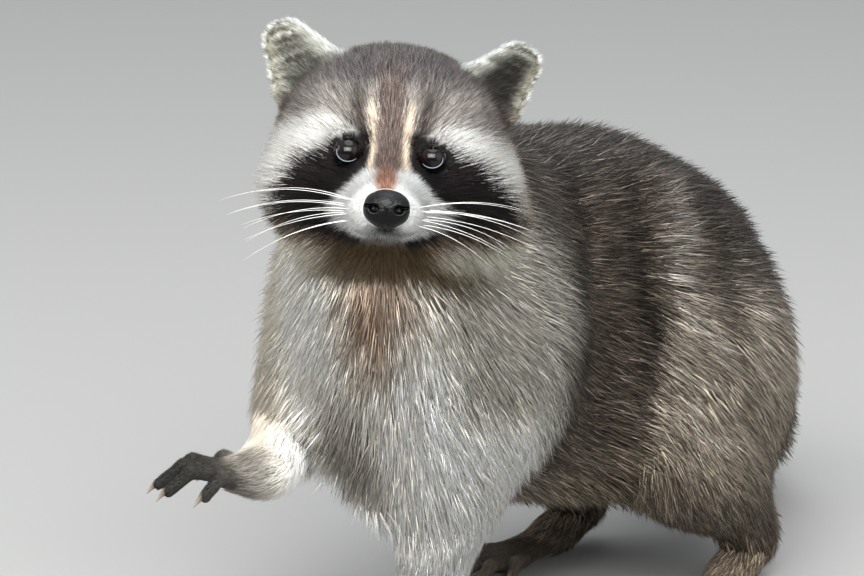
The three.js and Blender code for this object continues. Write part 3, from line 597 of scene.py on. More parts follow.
def markings(P, share):
    """Mean colour of the coat, how much single tufts differ, how pale the tips are, and where the creases are painted
    dark as shade, at points.
    """
    n = len(P)
    x, y, z = P.T
    one = np.ones(n)
    # body
    mid = np.interp(y, [-60, 60, 150], [4, -14, -8])
    out = np.abs(x - mid)
    fold = P.copy()
    fold[:, 0] = mid + out
    f1, f2, f3, swell = folds(P)
    ragged = noise3(P, 22, 5) + .6 * noise3(P, 8, 6)
    col = np.tile(TONE["back"], (n, 1))
    spread, pale = .46 * one, .40 * one
    spine = smooth(232, 266, z) * smooth(-70, 10, y) + smooth(.55, .95, (z - 160) / 90) * smooth(60, 160, y) * .8
    col = mix(col, TONE["spine"], np.clip(spine, 0, 1) * .8)
    flank = smooth(-45, -5, y) * (1 - smooth(90, 150, y)) * smooth(30, 60, out)
    col = mix(col, TONE["flank"], flank * .8)
    # painted highlight on the swell between the folds: strong on the left flank, faint on the right, with paler tips
    # there
    painted_highlight = swell * (x > mid) * (.65 + .35 * noise3(P, 14, 8)) + .35 * swell * (x <= mid)
    col = mix(col, TONE["swell"], np.clip(painted_highlight, 0, 1) * .85)
    pale += .40 * painted_highlight
    haunch = blob(fold, (84, 118, 132), (50, 74, 56), .45) * (.85 + .15 * noise3(P, 12, 10))
    col = mix(col, TONE["haunch"], haunch * .85)
    spread += .02 * haunch
    pale += .30 * haunch
    low = smooth(0, 1, (150 - z) / 60) * smooth(-30, 10, y)
    col = mix(col, TONE["low"], low * .6)
    under = share.get("belly", 0 * x) * smooth(0, 1, (105 - z) / 40)
    col = mix(col, srgb(158, 146, 126), under)
    # the creases are painted near black: painted shade in the grooves that furrow() carves
    crease_shade = np.clip(f1 + f2 + .5 * f3, 0, 1)
    col = mix(col, TONE["fold"], crease_shade * .90)
    pale -= .25 * crease_shade
    # chest, throat and forelegs
    fore = 1 - smooth(-72, -30, y + 12 * ragged)
    col = mix(col, TONE["chest"], fore)
    spread, pale = spread - fore * .20, pale + fore * .46
    nape = share.get("neck", 0 * x) * smooth(228, 262, z - .35 * (y + 60)) * smooth(-96, -66, y)
    col = mix(col, TONE["back"], np.clip(nape, 0, 1) * .9)
    side = smooth(40, 62, x + .25 * (y + 110)) * fore * smooth(150, 185, z) * (1 - smooth(240, 262, z))
    col = mix(col, TONE["shoulder"], side * .75)
    warm = blob(P, (36, -146, 224), (23, 30, 44), .60)
    col = mix(col, TONE["warm"], warm * (.80 + .2 * noise3(P, 9, 11)))
    pale -= warm * .22
    grey = blob(P, (68, -121, 247), (22, 24, 15), .6)
    col = mix(col, TONE["grey"], grey * .85)
    # painted shade in the hollow low between the forelegs, and fainter along the seam beside the left foreleg
    hollow = blob(P, (8, -138, 142), (19, 30, 40), .55)
    col = mix(col, TONE["hollow"], hollow * .8)
    pale -= hollow * .12
    seam = blob(P, (40, -140, 186), (10, 26, 26), .6)
    col = mix(col, TONE["hollow"], seam * .45)
    stripe = blob(P, (50, -128, 160), (15, 28, 58), .5)
    col = mix(col, TONE["white"], stripe * .85)
    cream = smooth(16, 40, -(x + .25 * (y + 130)) - 6) * fore * smooth(84, 112, z) * (1 - smooth(-84, -44, y + 12 * ragged))
    col = mix(col, TONE["cream"], cream * .9)
    spread -= cream * .15
    pale += cream * .2
    # the throat under the chin: brown fur, with a painted shadow cast by the chin over it
    q = within(HEAD, P)
    u, v, w = q[:, 0], q[:, 2], q[:, 1]
    chin = smooth(-40, -45, v) * smooth(9, 2, np.abs(v + 52) - 4) * (1 - smooth(24, 62, np.abs(u - 2))) * (1 - smooth(24, 60, w))
    col = mix(col, TONE["throat"], np.clip(chin, 0, 1) * .9)
    pale -= .25 * np.clip(chin, 0, 1)
    # feet
    foot = share.get("paw", 0 * x)
    lower = (1 - smooth(30, 62, z)) * (share.get("limb", 0 * x) + foot) * (1 - smooth(20, 60, y))
    col = mix(col, srgb(150, 142, 130), np.clip(lower, 0, 1) * .6)
    hindlow = (1 - smooth(36, 70, z)) * smooth(60, 100, y) * (share.get("limb", 0 * x) + share.get("thigh", 0 * x) + foot)
    col = mix(col, srgb(128, 114, 98), np.clip(hindlow, 0, 1) * .7)
    wrist = blob(P, (-33, -159, 131), (15, 15, 16), .5) * (share.get("limb", 0 * x) + foot)
    col = mix(col, srgb(62, 58, 56), wrist * .8)
    hand = foot * smooth(.35, .8, foot) * (1 - smooth(40, 70, y))
    col = mix(col, srgb(11, 12, 13), hand * .97)
    heel = foot * smooth(.35, .8, foot) * smooth(40, 70, y)
    col = mix(col, srgb(88, 80, 72), heel * .9)
    spread, pale = mix2(spread, .22, foot), mix2(pale, .15, foot)
    # tail
    t, _ = tail_place(P)
    ring = .5 + .5 * np.cos((t - 28) / 54 * 2 * math.pi + .8 * noise3(P, 14, 9) + .4 * noise3(P, 6, 12))
    ring = smooth(.40, .68, ring)
    tail = np.clip(share.get("tail", 0 * x) * 1.4 - .2, 0, 1) * smooth(20, 60, t)
    tip = smooth(318, 336, t)
    tail_col = mix(np.tile(srgb(160, 148, 130), (n, 1)), srgb(40, 33, 29), np.maximum(ring, tip))
    col = mix(col, tail_col, tail)
    spread = mix2(spread, .32, tail)
    # head
    head = np.clip(share.get("head", 0 * x) + share.get("face", 0 * x) + share.get("ear", 0 * x), 0, 1)
    head = smooth(.25, .7, head) * (1 - smooth(47, 56, -v) * (1 - smooth(52, 66, w)))
    c, sp, pl = head_marks(q, P)
    col = mix(col, c, head)
    spread, pale = mix2(spread, sp, head), mix2(pale, pl, head)
    return col, spread, np.clip(pale, 0, 1), crease_shade * (1 - head)


def mix2(a, b, w):
    return a + (b - a) * w


MASK_TOP = {1: ([0, 10, 12.5, 19, 25, 31.6, 41.7, 47.2, 53.7, 58.9, 65.6, 70], [11, 11, 10.9, 10.0, 7.8, 4.4, .6, -5.0, -10.0, -14.4, -20.6, -26]),
            -1: ([0, 10, 13.9, 18, 22, 29.1, 34.9, 40.9, 46.5, 50.5, 54, 55.9, 58.5], [10, 9.8, 9.9, 9.9, 9.0, 5.6, 1.3, -1.8, -8.5, -14.9, -22.7, -30.2, -34])}
MASK_LOW = {1: ([0, 14, 20, 28, 36, 48, 58, 66, 69], [-44, -44.5, -42.5, -38, -35.1, -35, -33, -29, -27]),
            -1: ([0, 14, 19.1, 29.2, 40.5, 50.6, 56, 59], [-44, -44.5, -43.4, -40.4, -37.6, -34.9, -33.2, -33])}
BROW_TOP = {1: ([9, 12, 15, 19.4, 31.7, 44.4, 54.8, 64.2, 70], [13, 14.5, 16.5, 18.5, 19, 15, 8.3, -1, -9]),
            -1: ([9, 12, 15, 19, 30, 40, 49, 57, 62, 70], [12, 14, 16.5, 18.5, 20.5, 19.5, 14, 5, -4, -12])}
MUZZLE = {1: ([-44, -42.4, -39.2, -34.9, -29.4, -24.6, -19.1, -11, -6.5, -3.5], [2, 8, 17.7, 26.5, 32.5, 30.8, 22.3, 15.0, 9.6, 2]),
          -1: ([-44, -41.6, -37.3, -31.6, -26.7, -20, -14.7, -8.1, -5.4, -3.5], [2, 11.8, 21.0, 27, 27.4, 21.6, 16.4, 10.7, 6.7, 2])}


def by_side(u, x, table):
    return np.where(u > 0, np.interp(x, *table[1]), np.interp(x, *table[-1]))


def head_marks(q, P):
    u, w, v = q[:, 0], q[:, 1], q[:, 2]
    n = len(q)
    one = np.ones(n)
    wob = noise3(P, 7, 21)
    wob2 = noise3(P, 3.2, 22)
    a = np.abs(u) + .8 * wob
    vv = v + .8 * wob2
    # crown and back of the head: grizzled grey-brown
    col = np.tile(TONE["crown"], (n, 1))
    spread, pale = .42 * one, .48 * one
    back = smooth(38, 66, w)
    col = mix(col, TONE["occiput"], back)
    front = 1 - smooth(30, 46, w)
    # pale band from the brow round the mask to the cheek
    top = by_side(u, a, MASK_TOP)
    low = by_side(u, a, MASK_LOW)
    brow_top = by_side(u, a, BROW_TOP)
    brow = smooth(-1.5, 1.5, vv - top + 1) * (1 - smooth(-4.5, 1.5, vv - brow_top + 3 * smooth(34, 16, a))) * smooth(10, 13, a) * (1 - smooth(34, 62, w))
    col = mix(col, TONE["brow"], brow)
    pale, spread = mix2(pale, .95, brow), mix2(spread, .12, brow)
    cheek = smooth(44, 58, a) * (1 - smooth(-2, 12, vv - brow_top + 2)) * (1 - smooth(-5, 5, -36 - vv)) * (1 - smooth(36, 70, w + 5 * wob))
    cheek *= smooth(-2, 4, np.maximum(vv - top, low - vv - 3))
    col = mix(col, TONE["cheek"], cheek * .95)
    pale, spread = mix2(pale, .97, cheek), mix2(spread, .08, cheek)
    edge = smooth(58, 70, a + .35 * np.maximum(0, w - 20)) * (1 - smooth(16, 32, vv)) * smooth(-44, -20, vv) * smooth(4, 20, w)
    col = mix(col, TONE["edge"], edge * .6)
    # below the mask: a rusty rim, then grey-white
    below = smooth(0, 4, low - vv) * (1 - smooth(40, 66, w)) * smooth(14, 22, a)
    col = mix(col, TONE["under"], below)
    pale = mix2(pale, .75, below)
    rim = np.exp(-((vv - low + 3.0) / 3.4) ** 2) * smooth(13, 20, a) * (1 - smooth(62, 72, a)) * (1 - smooth(40, 56, w))
    col = mix(col, TONE["rim"], rim * .9)
    pale = mix2(pale, .3, rim)
    # brown under the chin, between the cheeks, with painted shadow under the chin
    throat_brown_and_shadow = smooth(-42.5, -46, vv) * (1 - smooth(18, 32, a)) * (1 - smooth(40, 60, w))
    col = mix(col, TONE["throat"], throat_brown_and_shadow)
    pale, spread = mix2(pale, .2, throat_brown_and_shadow), mix2(spread, .3, throat_brown_and_shadow)
    # darker, finely ticked forehead between the brows, with a dusky streak on each side of the cream edges
    mid = (1 - smooth(24, 40, a)) * smooth(30, 38, vv) * (1 - smooth(44, 60, vv)) * front
    col = mix(col, srgb(94, 89, 88), mid * .9)
    frost = (1 - smooth(34, 52, a)) * smooth(9, 14, vv) * (1 - smooth(24, 40, vv + 3 * wob)) * smooth(-2, 3, vv - top) * (1 - brow) * front
    col = mix(col, srgb(150, 144, 138), frost * .75)
    pale, spread = mix2(pale, .55, frost), mix2(spread, .42, frost)
    streak = np.exp(-((a - 15.5 - .10 * np.maximum(0, v - 10)) / 3.6) ** 2) * smooth(4, 9, vv) * (1 - smooth(26, 36, vv)) * front
    col = mix(col, srgb(66, 58, 50), streak * .85)
    pale, spread = mix2(pale, .15, streak), mix2(spread, .2, streak)
    # forehead stripe with its cream edges
    centre = np.abs(u + .6 + .02 * (v - 8))
    stripe = (1 - smooth(5.6, 7.2, centre + .5 * wob)) * smooth(-10, -5, vv) * (1 - smooth(30, 50, vv)) * front
    col = mix(col, TONE["stripe"], stripe)
    pale, spread = mix2(pale, .40, stripe), mix2(spread, .36, stripe)
    cream = np.exp(-((centre - 8.4 - .05 * np.maximum(0, v - 8)) / 1.75) ** 2) * smooth(-13, -7, vv) * (1 - smooth(16, 30, vv + 3 * wob)) * front
    col = mix(col, TONE["edging"], np.clip(cream * (1.0 + .45 * noise3(P, 2.2, 23)), 0, 1))
    pale, spread = mix2(pale, .9, cream), mix2(spread, .15, cream)
    # mask
    mask = smooth(-1.0, 1.0, top - vv) * smooth(-1.5, 1.5, vv - low) * smooth(10.0, 11.8, a + .10 * np.maximum(0, v)) * (1 - smooth(37, 52, w - .25 * np.maximum(0, a - 44)))
    mask *= np.where(u > 0, 1 - smooth(67, 71, a), 1 - smooth(57, 60, a))
    col = mix(col, TONE["mask"], mask)
    pale, spread = mix2(pale, .10, mask), mix2(spread, .25, mask)
    # a painted highlight on the mask, outward of each eye
    painted_highlight = mask * np.exp(-((a - 31) / 6) ** 2 - ((vv + 2) / 7) ** 2)
    col = mix(col, srgb(70, 64, 64), painted_highlight * .5)
    # muzzle
    half = by_side(u - .8, v, MUZZLE)
    muz = smooth(-1.3, 1.3, half - np.abs(u) + .6 * wob2) * (1 - smooth(-1, 1, -41.4 - v)) * (1 - smooth(-14, 6, w)) * (1 - smooth(-10.5, -7.5, v))
    col = mix(col, TONE["muzzle"], muz)
    pale, spread = mix2(pale, .96, muz), mix2(spread, .07, muz)
    rust = blob(np.stack([u + .3, v, 0 * u], 1), (-.3, -13.2, 0), (5.6, 6.0, 1), .45) * (1 - smooth(-14, 0, w))
    col = mix(col, TONE["rust"], rust * .9)
    pale, spread = mix2(pale, .6, rust), mix2(spread, .25, rust)
    flush = blob(np.stack([u + .3, v, 0 * u], 1), (0, -4.5, 0), (6.6, 6.0, 1), .5) * (1 - smooth(-14, 4, w)) * (1 - rust)
    col = mix(col, srgb(120, 100, 92), flush * .55)
    lips = np.exp(-(to_path(q, MOUTH) / 1.5) ** 2)
    cleft = np.exp(-((u - 1.0) / 1.1) ** 2) * (v < -34) * (v > -40) * (w < -36)
    # painted shade of the philtrum and lips, greying the white muzzle under the nose
    mouth_shade = blob(np.stack([u, v, 0 * u], 1), (.6, -38.8, 0), (11, 3.0, 1), .5) * (w < -25)
    col = mix(col, srgb(104, 106, 102), mouth_shade * .75)
    col = mix(col, srgb(44, 40, 38), np.clip(lips + cleft, 0, 1) * .85)
    # lids
    for s in (1, -1):
        r = np.hypot(u - s * EYE_OUT, v)
        lid = (1 - smooth(8.2 + 1.4 * (v > 0), 10.2 + 1.8 * (v > 0), r)) * (w < 8)
        col = mix(col, srgb(20, 17, 18), lid)
        pale = mix2(pale, 0, lid)
        pit = (w < 10) * blob(np.stack([u, v, 0 * u], 1), (s * 13.4, 2.5, 0), (3.6, 8.5, 1), .4)
        col = mix(col, srgb(24, 19, 20), pit)
        pale = mix2(pale, .05, pit)
    # ears
    for s in (1, -1):
        ea, eb, en, ra, rb = EAR[s]
        d = q - ea
        ax = unit(eb - ea)
        size = np.linalg.norm(eb - ea)
        t = np.clip((d @ ax) / size, 0, 1)
        flat = d - (d @ en)[:, None] * en - (t * size)[:, None] * ax
        off = np.linalg.norm(flat, axis=1) - (ra + (rb - ra) * t)
        rise = (d @ ax)
        across = flat @ unit(np.cross(en, ax))
        on = (1 - smooth(1.5, 5.0, off)) * smooth(-6, 4, rise + .25 * np.abs(d @ np.array([s, 0, 0]))) * smooth(31, 36, w + 4) * (np.abs(d @ en) < 14)
        face = smooth(-1.5, 1.0, d @ en + 2.2)
        rimz = smooth(-2.9, -1.4, off + 1.1 * smooth(2, 10, s * across)) * smooth(-8, 2, rise)
        strand = smooth(-.6, .8, noise3(np.stack([rise + .35 * s * across, across * .10, 0 * u], 1), 1.3, 31))
        inn = mix(np.tile(TONE["ear_dark"], (n, 1)), TONE["ear_pale"], strand)
        # the opening at the base of the inner ear is painted dark: painted shade in its hollow, deeper on the left ear
        hole = np.clip(1.3 - np.hypot(across + s * .5, (rise - (5 if s > 0 else 2)) * .52) / 12.0, 0, 1)
        inn = mix(inn, srgb(214, 216, 208), smooth(1, 9, s * across) * smooth(-14, -5, off) * (.25 if s > 0 else .50))
        inn = mix(inn, srgb(30, 28, 23), smooth(.05, .8, hole) * (.95 if s > 0 else .6))
        inn = mix(inn, TONE["ear_edge"], smooth(2, 9, -s * across) * smooth(-12, -4, off) * .6)
        rear = mix(np.tile(srgb(74, 66, 62), (n, 1)), srgb(150, 144, 136), smooth(-9, -3, off))
        ear = mix(rear, inn, face)
        ear = mix(ear, TONE["ear_rim"], rimz)
        col = mix(col, ear, on)
        spread, pale = mix2(spread, .20, on), mix2(pale, .75, on)
        root = (1 - on) * (1 - smooth(4, 12, off)) * smooth(-26, -8, rise) * (1 - smooth(14, 24, rise)) * smooth(24, 34, w)
        col = mix(col, TONE["ear_root"], root * .65)
    return col, spread, pale


def tail_place(P):
    """How far along the tail a point is, in mm, and its angle round it."""
    best, at, ang = np.full(len(P), 1e9), np.zeros(len(P)), np.zeros(len(P))
    run = 0.0
    for a, b in zip(TAIL[:-1], TAIL[1:]):
        ba = b - a
        size = np.linalg.norm(ba)
        t = ((P - a) @ ba) / size ** 2
        t = np.where(t < 0, t * (run > 0) * 0 + np.minimum(t, 0) * (run == 0), t)
        tc = np.clip(t, -1 if run == 0 else 0, 1 if b is not TAIL[-1] else 1.4)
        q = P - a - tc[:, None] * ba
        d = np.linalg.norm(q, axis=1)
        side = unit(np.cross(ba, (0, 0, 1)))
        m = d < best
        best = np.where(m, d, best)
        at = np.where(m, run + tc * size, at)
        ang = np.where(m, np.arctan2(q @ np.cross(side, ba / size), q @ side), ang)
        run += size
    return at, ang


# ------------------------------------------------------------------ meshes
def to_row(P):
    return (P + SHIFT) / 1000.0


def mesh_of(name, V, T, colour=None, uv=None, smooth_faces=True, normals=None):
    me = bpy.data.meshes.new(name)
    me.vertices.add(len(V))
    me.vertices.foreach_set("co", to_row(V).astype(np.float32).ravel())
    me.loops.add(T.size)
    me.loops.foreach_set("vertex_index", T.astype(np.int32).ravel())
    me.polygons.add(len(T))
    me.polygons.foreach_set("loop_start", (np.arange(len(T)) * 3).astype(np.int32))
    if smooth_faces:
        me.polygons.foreach_set("use_smooth", np.ones(len(T), bool))
    me.update(calc_edges=True)
    if colour is not None:
        at = me.color_attributes.new("Col", "FLOAT_COLOR", "POINT")
        rgba = np.ones((len(V), 4), np.float32)
        rgba[:, :3] = colour
        at.data.foreach_set("color", rgba.ravel())
        me.color_attributes.active_color = at
    if uv is not None:
        layer = me.uv_layers.new(name="OFBake")
        layer.data.foreach_set("uv", uv[T.ravel()].astype(np.float32).ravel())
    ob = bpy.data.objects.new(name, me)
    bpy.context.scene.collection.objects.link(ob)
    return ob


def material(name, build):
    m = bpy.data.materials.new(name)
    m.use_nodes = True
    t = m.node_tree
    bsdf = t.nodes["Principled BSDF"]
    build(t, bsdf)
    return m


def node(t, kind, **v):
    n = t.nodes.new(kind)
    for k, x in v.items():
        if k in n.inputs:
            n.inputs[k].default_value = x
        else:
            setattr(n, k, x)
    return n


def painted(roughness, specular, bump=None, tint=None):
    def build(t, b):
        a = node(t, "ShaderNodeAttribute", attribute_name="Col")
        b.inputs["Roughness"].default_value = roughness
        b.inputs["Specular IOR Level"].default_value = specular
        out = a.outputs["Color"]
        if tint:
            scale, low, high = tint
            co = node(t, "ShaderNodeTexCoord")
            nz = node(t, "ShaderNodeTexNoise", Scale=scale, Detail=4.0)
            mp = node(t, "ShaderNodeMapRange")
            mp.inputs["To Min"].default_value, mp.inputs["To Max"].default_value = low, high
            mx = node(t, "ShaderNodeVectorMath", operation="SCALE")
            t.links.new(co.outputs["Object"], nz.inputs["Vector"])
            t.links.new(nz.outputs["Fac"], mp.inputs["Value"])
            t.links.new(out, mx.inputs[0])
            t.links.new(mp.outputs["Result"], mx.inputs["Scale"])
            out = mx.outputs["Vector"]
        t.links.new(out, b.inputs["Base Color"])
        if bump:
            scale, strength, distance = bump
            co = node(t, "ShaderNodeTexCoord")
            nz = node(t, "ShaderNodeTexNoise", Scale=scale, Detail=5.0, Roughness=.6)
            bp = node(t, "ShaderNodeBump", Strength=strength, Distance=distance)
            t.links.new(co.outputs["Object"], nz.inputs["Vector"])
            t.links.new(nz.outputs["Fac"], bp.inputs["Height"])
            t.links.new(bp.outputs["Normal"], b.inputs["Normal"])
    return build


# ------------------------------------------------------------------ the skin
tell("field")
HSTEP = 2.42
lo = np.array([-262.0, -215.0, -4.0])
hi = np.array([128.0, 372.0, 372.0])
V = grid_field(lo, hi, HSTEP, lambda P, v: mouth(P, eye_lids(P, furrow(P, v))))
skin_v, skin_t = nets(V, lo, HSTEP)
del V
tell(f"skin {len(skin_t)} triangles")


def finer(M):
    q = within(HEAD, M)
    target = np.full(len(M), 9.0)
    face = (q[:, 1] < 4) & (np.abs(q[:, 0]) < 40) & (np.abs(q[:, 2]) < 48)
    target[face] = 2.6
    muzzle = (q[:, 1] < -16) & (np.abs(q[:, 0]) < 30) & (np.abs(q[:, 2]) < 52)
    target[muzzle] = 1.6
    target[to_path(q, MOUTH) < 4] = 1.0
    for s in (1, -1):
        r = np.linalg.norm(q - (s * EYE_OUT, EYE_BACK, 0), axis=1)
        target[(r < 13) & (q[:, 1] < 2)] = .95
    return target


skin_v, skin_t = refine(skin_v, skin_t, finer, 3)
skin_v = settle(skin_v, skin_t, skin_field, rounds=2, relax=.4)
for P_ in range(1):
    at_ = np.flatnonzero(finer(skin_v) < 8)
    for _ in range(2):
        d_ = skin_field(skin_v[at_])
        g_ = np.stack([(skin_field(skin_v[at_] + np.eye(3)[k] * .2) - d_) / .2 for k in range(3)], 1)
        skin_v[at_] -= np.clip(d_ / np.maximum((g_ * g_).sum(1), .09), -.6, .6)[:, None] * g_
skin_v[:, 2] = np.maximum(skin_v[:, 2], .45)
tell(f"skin refined {len(skin_t)} triangles")
coarse = lambda P: np.maximum(np.subtract(*[f(coat_and_depth(P)) for f in (lambda r: r[0] + r[1], lambda r: 0)]), .45 - P[:, 2])
skin_n = units(gradient(lambda P: skin_field(P, False), skin_v, 1.2))
LIE, FUR, SHARE = furnish(skin_v)
tell("lie of the coat")

skin_col, spread, pale, crease_shade = markings(skin_v, SHARE)
# the skin is darker the deeper its coat: partly darker underfur, partly painted shade deep in the coat
deep_coat_shade = np.clip(FUR[:, 0] / 12, 0, 1)[:, None]
base_skin = skin_col * (1 - .62 * deep_coat_shade) * (1 - .0 * deep_coat_shade)
foot = SHARE.get("paw", np.zeros(len(skin_v)))
skin = mesh_of("skin", skin_v, skin_t, np.clip(base_skin, 0, 1))
skin.data.materials.append(material("skin", painted(.82, .18, bump=(900, .35, .0006), tint=(300, .75, 1.25))))


def equal(x):
    """Spreads values evenly over 0 to 1 without changing their order."""
    r = np.empty(len(x))
    r[np.argsort(x, kind="stable")] = (np.arange(len(x)) + .5) / len(x)
    return r


def fit(x, a=.006, b=.99):
    return a + (b - a) * (x - x.min()) / max(np.ptp(x), 1e-9)


# ------------------------------------------------------------------ the coat
rng = np.random.default_rng(20)
tri_p = skin_v[skin_t]
cross = np.cross(tri_p[:, 1] - tri_p[:, 0], tri_p[:, 2] - tri_p[:, 0])
area = np.linalg.norm(cross, axis=1) / 2
density = FUR[:, 3][skin_t].mean(1)
want = area * density
total = want.sum()
tell(f"area {area.sum() / 1e6:.3f} m2, roots {total:.0f}")
# neighbours in the list are neighbours on the skin, so even steps along the running total spread the roots evenly
cell = np.floor(tri_p.mean(1) / 9.0).astype(np.int64)
order = np.lexsort((tri_p.mean(1)[:, 0], cell[:, 1], cell[:, 0], cell[:, 2]))
run = np.cumsum(want[order])
at = (np.arange(int(total)) + rng.random(int(total))) * (run[-1] / int(total))
pick = order[np.clip(np.searchsorted(run, at), 0, len(order) - 1)]
r1, r2 = rng.random(len(pick)), rng.random(len(pick))
s1 = np.sqrt(r1)
bary = np.stack([1 - s1, s1 * (1 - r2), s1 * r2], 1)


def lerp(A):
    return (A[skin_t[pick]] * (bary if A.ndim == 1 else bary[:, :, None])).sum(1)


root = lerp(skin_v)
norm = units(lerp(skin_n))
flow = lerp(LIE)
fur = lerp(FUR)
share = {k: lerp(v) for k, v in SHARE.items()}
tell("roots")


def drop(mask):
    global root, norm, flow, fur, share
    keep = ~mask
    root, norm, flow, fur = root[keep], norm[keep], flow[keep], fur[keep]
    share = {k: v[keep] for k, v in share.items()}


zero = np.zeros(len(root))
q = within(HEAD, root)
bare = np.zeros(len(root), bool)
for s in (1, -1):
    r = np.linalg.norm((q - (s * EYE_OUT, EYE_BACK, 0))[:, [0, 2]], axis=1)
    bare |= (r < 7.1 + 1.3 * (q[:, 2] > 1.5)) & (q[:, 1] < 10)
    bare |= (np.linalg.norm((q - (s * 13.6, 0, -1.2))[:, [0, 2]] / (2.3, 1.6), axis=1) < 1) & (q[:, 1] < 0)
nose_gap = np.linalg.norm((q - NOSE_AT - (0, .5, .6)) / (12.2, 11.5, 11.8), axis=1)
bare |= nose_gap < 1
bare |= (to_path(q, MOUTH) < .8) & (q[:, 2] < -30)
bare |= (root[:, 2] < 2.2)
bare |= (norm[:, 2] < -.25) & (share["paw"] > .5) & (rng.random(len(root)) < .96)
drop(bare)
q = within(HEAD, root)
N = len(root)
tell(f"roots kept {N}")

# the lie, with small local swirls, turned away from the eyes
crown = smooth(.3, .8, share["head"]) * smooth(6, 20, q[:, 1] + .5 * q[:, 2])
flow = flow + (.16 + .16 * crown)[:, None] * np.stack([noise3(root, 16, 41 + k) for k in range(3)], 1) + (.10 + .26 * crown)[:, None] * np.stack([noise3(root, 5, 51 + k) for k in range(3)], 1)
for s in (1, -1):
    d = q - (s * EYE_OUT, EYE_BACK, 0)
    r = np.linalg.norm(d[:, [0, 2]], axis=1)
    away = units(d * (1, 0, 1)) @ HEAD[0].T
    toward = -(flow * away).sum(1)
    w = (1 - smooth(9, 19, r)) * (q[:, 1] < 12)
    flow = flow + (w * (np.maximum(toward, 0) + .35))[:, None] * away
flow = flow - (flow * norm).sum(1)[:, None] * norm
flow = units(flow)

length, width, loft = fur[:, 1].copy(), fur[:, 2].copy(), fur[:, 0].copy()
length *= rng.uniform(.78, 1.18, N)
for s in (1, -1):
    r = np.linalg.norm((q - (s * EYE_OUT, EYE_BACK, 0))[:, [0, 2]], axis=1)
    length *= np.where(q[:, 1] < 14, .30 + .70 * smooth(7.0, 19, r), 1)
    width *= np.where(q[:, 1] < 14, .55 + .45 * smooth(9, 18, r), 1)
length *= np.where(share["face"] > .3, .55 + .45 * smooth(1.0, 1.9, np.linalg.norm((q - NOSE_AT) / (12.2, 11.5, 11.8), axis=1)), 1)
# two kinds: broad soft wool underneath, and thin longer guard hairs over it
wool = rng.random(N) < np.clip(.04 + .32 * smooth(4, 12, loft), 0, .4)
length *= np.where(wool, .72, 1.06)
width *= np.where(wool, 1.25, .72)
crease_shade = markings(root, share)[3]
lift = np.arcsin(np.clip(loft * .92 / np.maximum(length, 1), .10, .62))
lift *= np.where(loft < 5, .80, 1.0) * np.where(wool, .70, 1.04)
lift = lift + rng.normal(0, .08, N)
lift = lift * (1 - .50 * crease_shade)
lift = np.clip(lift, .05, .8)
side = np.cross(norm, flow)
yaw = rng.normal(0, .15, N) * (1 + 1.2 * crown)
along = flow * np.cos(yaw)[:, None] + side * np.sin(yaw)[:, None]
side = np.cross(norm, along)
L1, L2 = length * .42, length * .58
lift2 = lift * .55
d1 = along * np.cos(lift)[:, None] + norm * np.sin(lift)[:, None]
d2 = along * np.cos(lift2)[:, None] + norm * np.sin(lift2)[:, None]
d2[:, 2] -= .10 * np.clip(loft / 12, 0, 1)
d2 = units(d2 + side * rng.normal(0, .10, N)[:, None])
p0 = root - norm * np.minimum(1.2, .3 * loft + .3)[:, None]
p1 = root + d1 * L1[:, None]
p2 = p1 + d2 * L2[:, None]
tell("tufts")

# locks: tufts near one another draw their tips together
count = max(N // 14, 1)
lead = rng.choice(N, count, replace=False)
tree = kdtree.KDTree(count)
for i, j in enumerate(lead):
    tree.insert(root[j], i)
tree.balance()
near = np.fromiter((tree.find(r)[1] for r in root), np.int64, N)
to = lead[near]
pull = np.clip(.42 * np.clip((loft - 2) / 8, 0, 1) + .06, 0, .5) * rng.uniform(.3, 1.15, N)
shift = (p2[to] - root[to]) * (length / length[to])[:, None] + root[to] - p2
far = np.linalg.norm(root[to] - root, axis=1)
shift *= np.where(far < 9, 1, 0)[:, None]
p2 = p2 + shift * pull[:, None]
p1 = p1 + shift * (pull * .35)[:, None]
tell("locks")

# guard hairs end just under the coat's own surface and wool deeper, so the coat keeps the body's true outline
stand = rng.random(N)
by_eye = np.ones(N)
for s in (1, -1):
    r = np.linalg.norm((q - (s * EYE_OUT, EYE_BACK, 0))[:, [0, 2]], axis=1)
    by_eye *= np.where(q[:, 1] < 14, smooth(9, 18, r), 1)
goal = -loft * np.where(wool, rng.uniform(.22, .55, N), rng.uniform(.0, .30, N))
fringe = np.clip(share["chest"] + .5 * share["neck"], 0, 1)
goal = np.where(stand < np.where(loft > 6, .05 + .10 * fringe, .02), loft * rng.uniform(.02, .16, N) * (1 + fringe), goal)
for step in range(2):
    have = coat_and_depth(p2)[0]
    move = (goal - have) * np.where(have > goal, 1.0, .75)
    move = np.clip(move, -.45 * length, .30 * length) * np.where(move > 0, by_eye, 1)
    p2 = p2 + norm * move[:, None]
    p1 = p1 + norm * (move * .42)[:, None]
over = np.maximum(coat_and_depth(p1)[0] + .12 * loft, 0)
p1 = p1 - norm * over[:, None]
tell("coat to its surface")

floor_z = .5
p1[:, 2] = np.maximum(p1[:, 2], floor_z + .4)
p2[:, 2] = np.maximum(p2[:, 2], floor_z + .1)

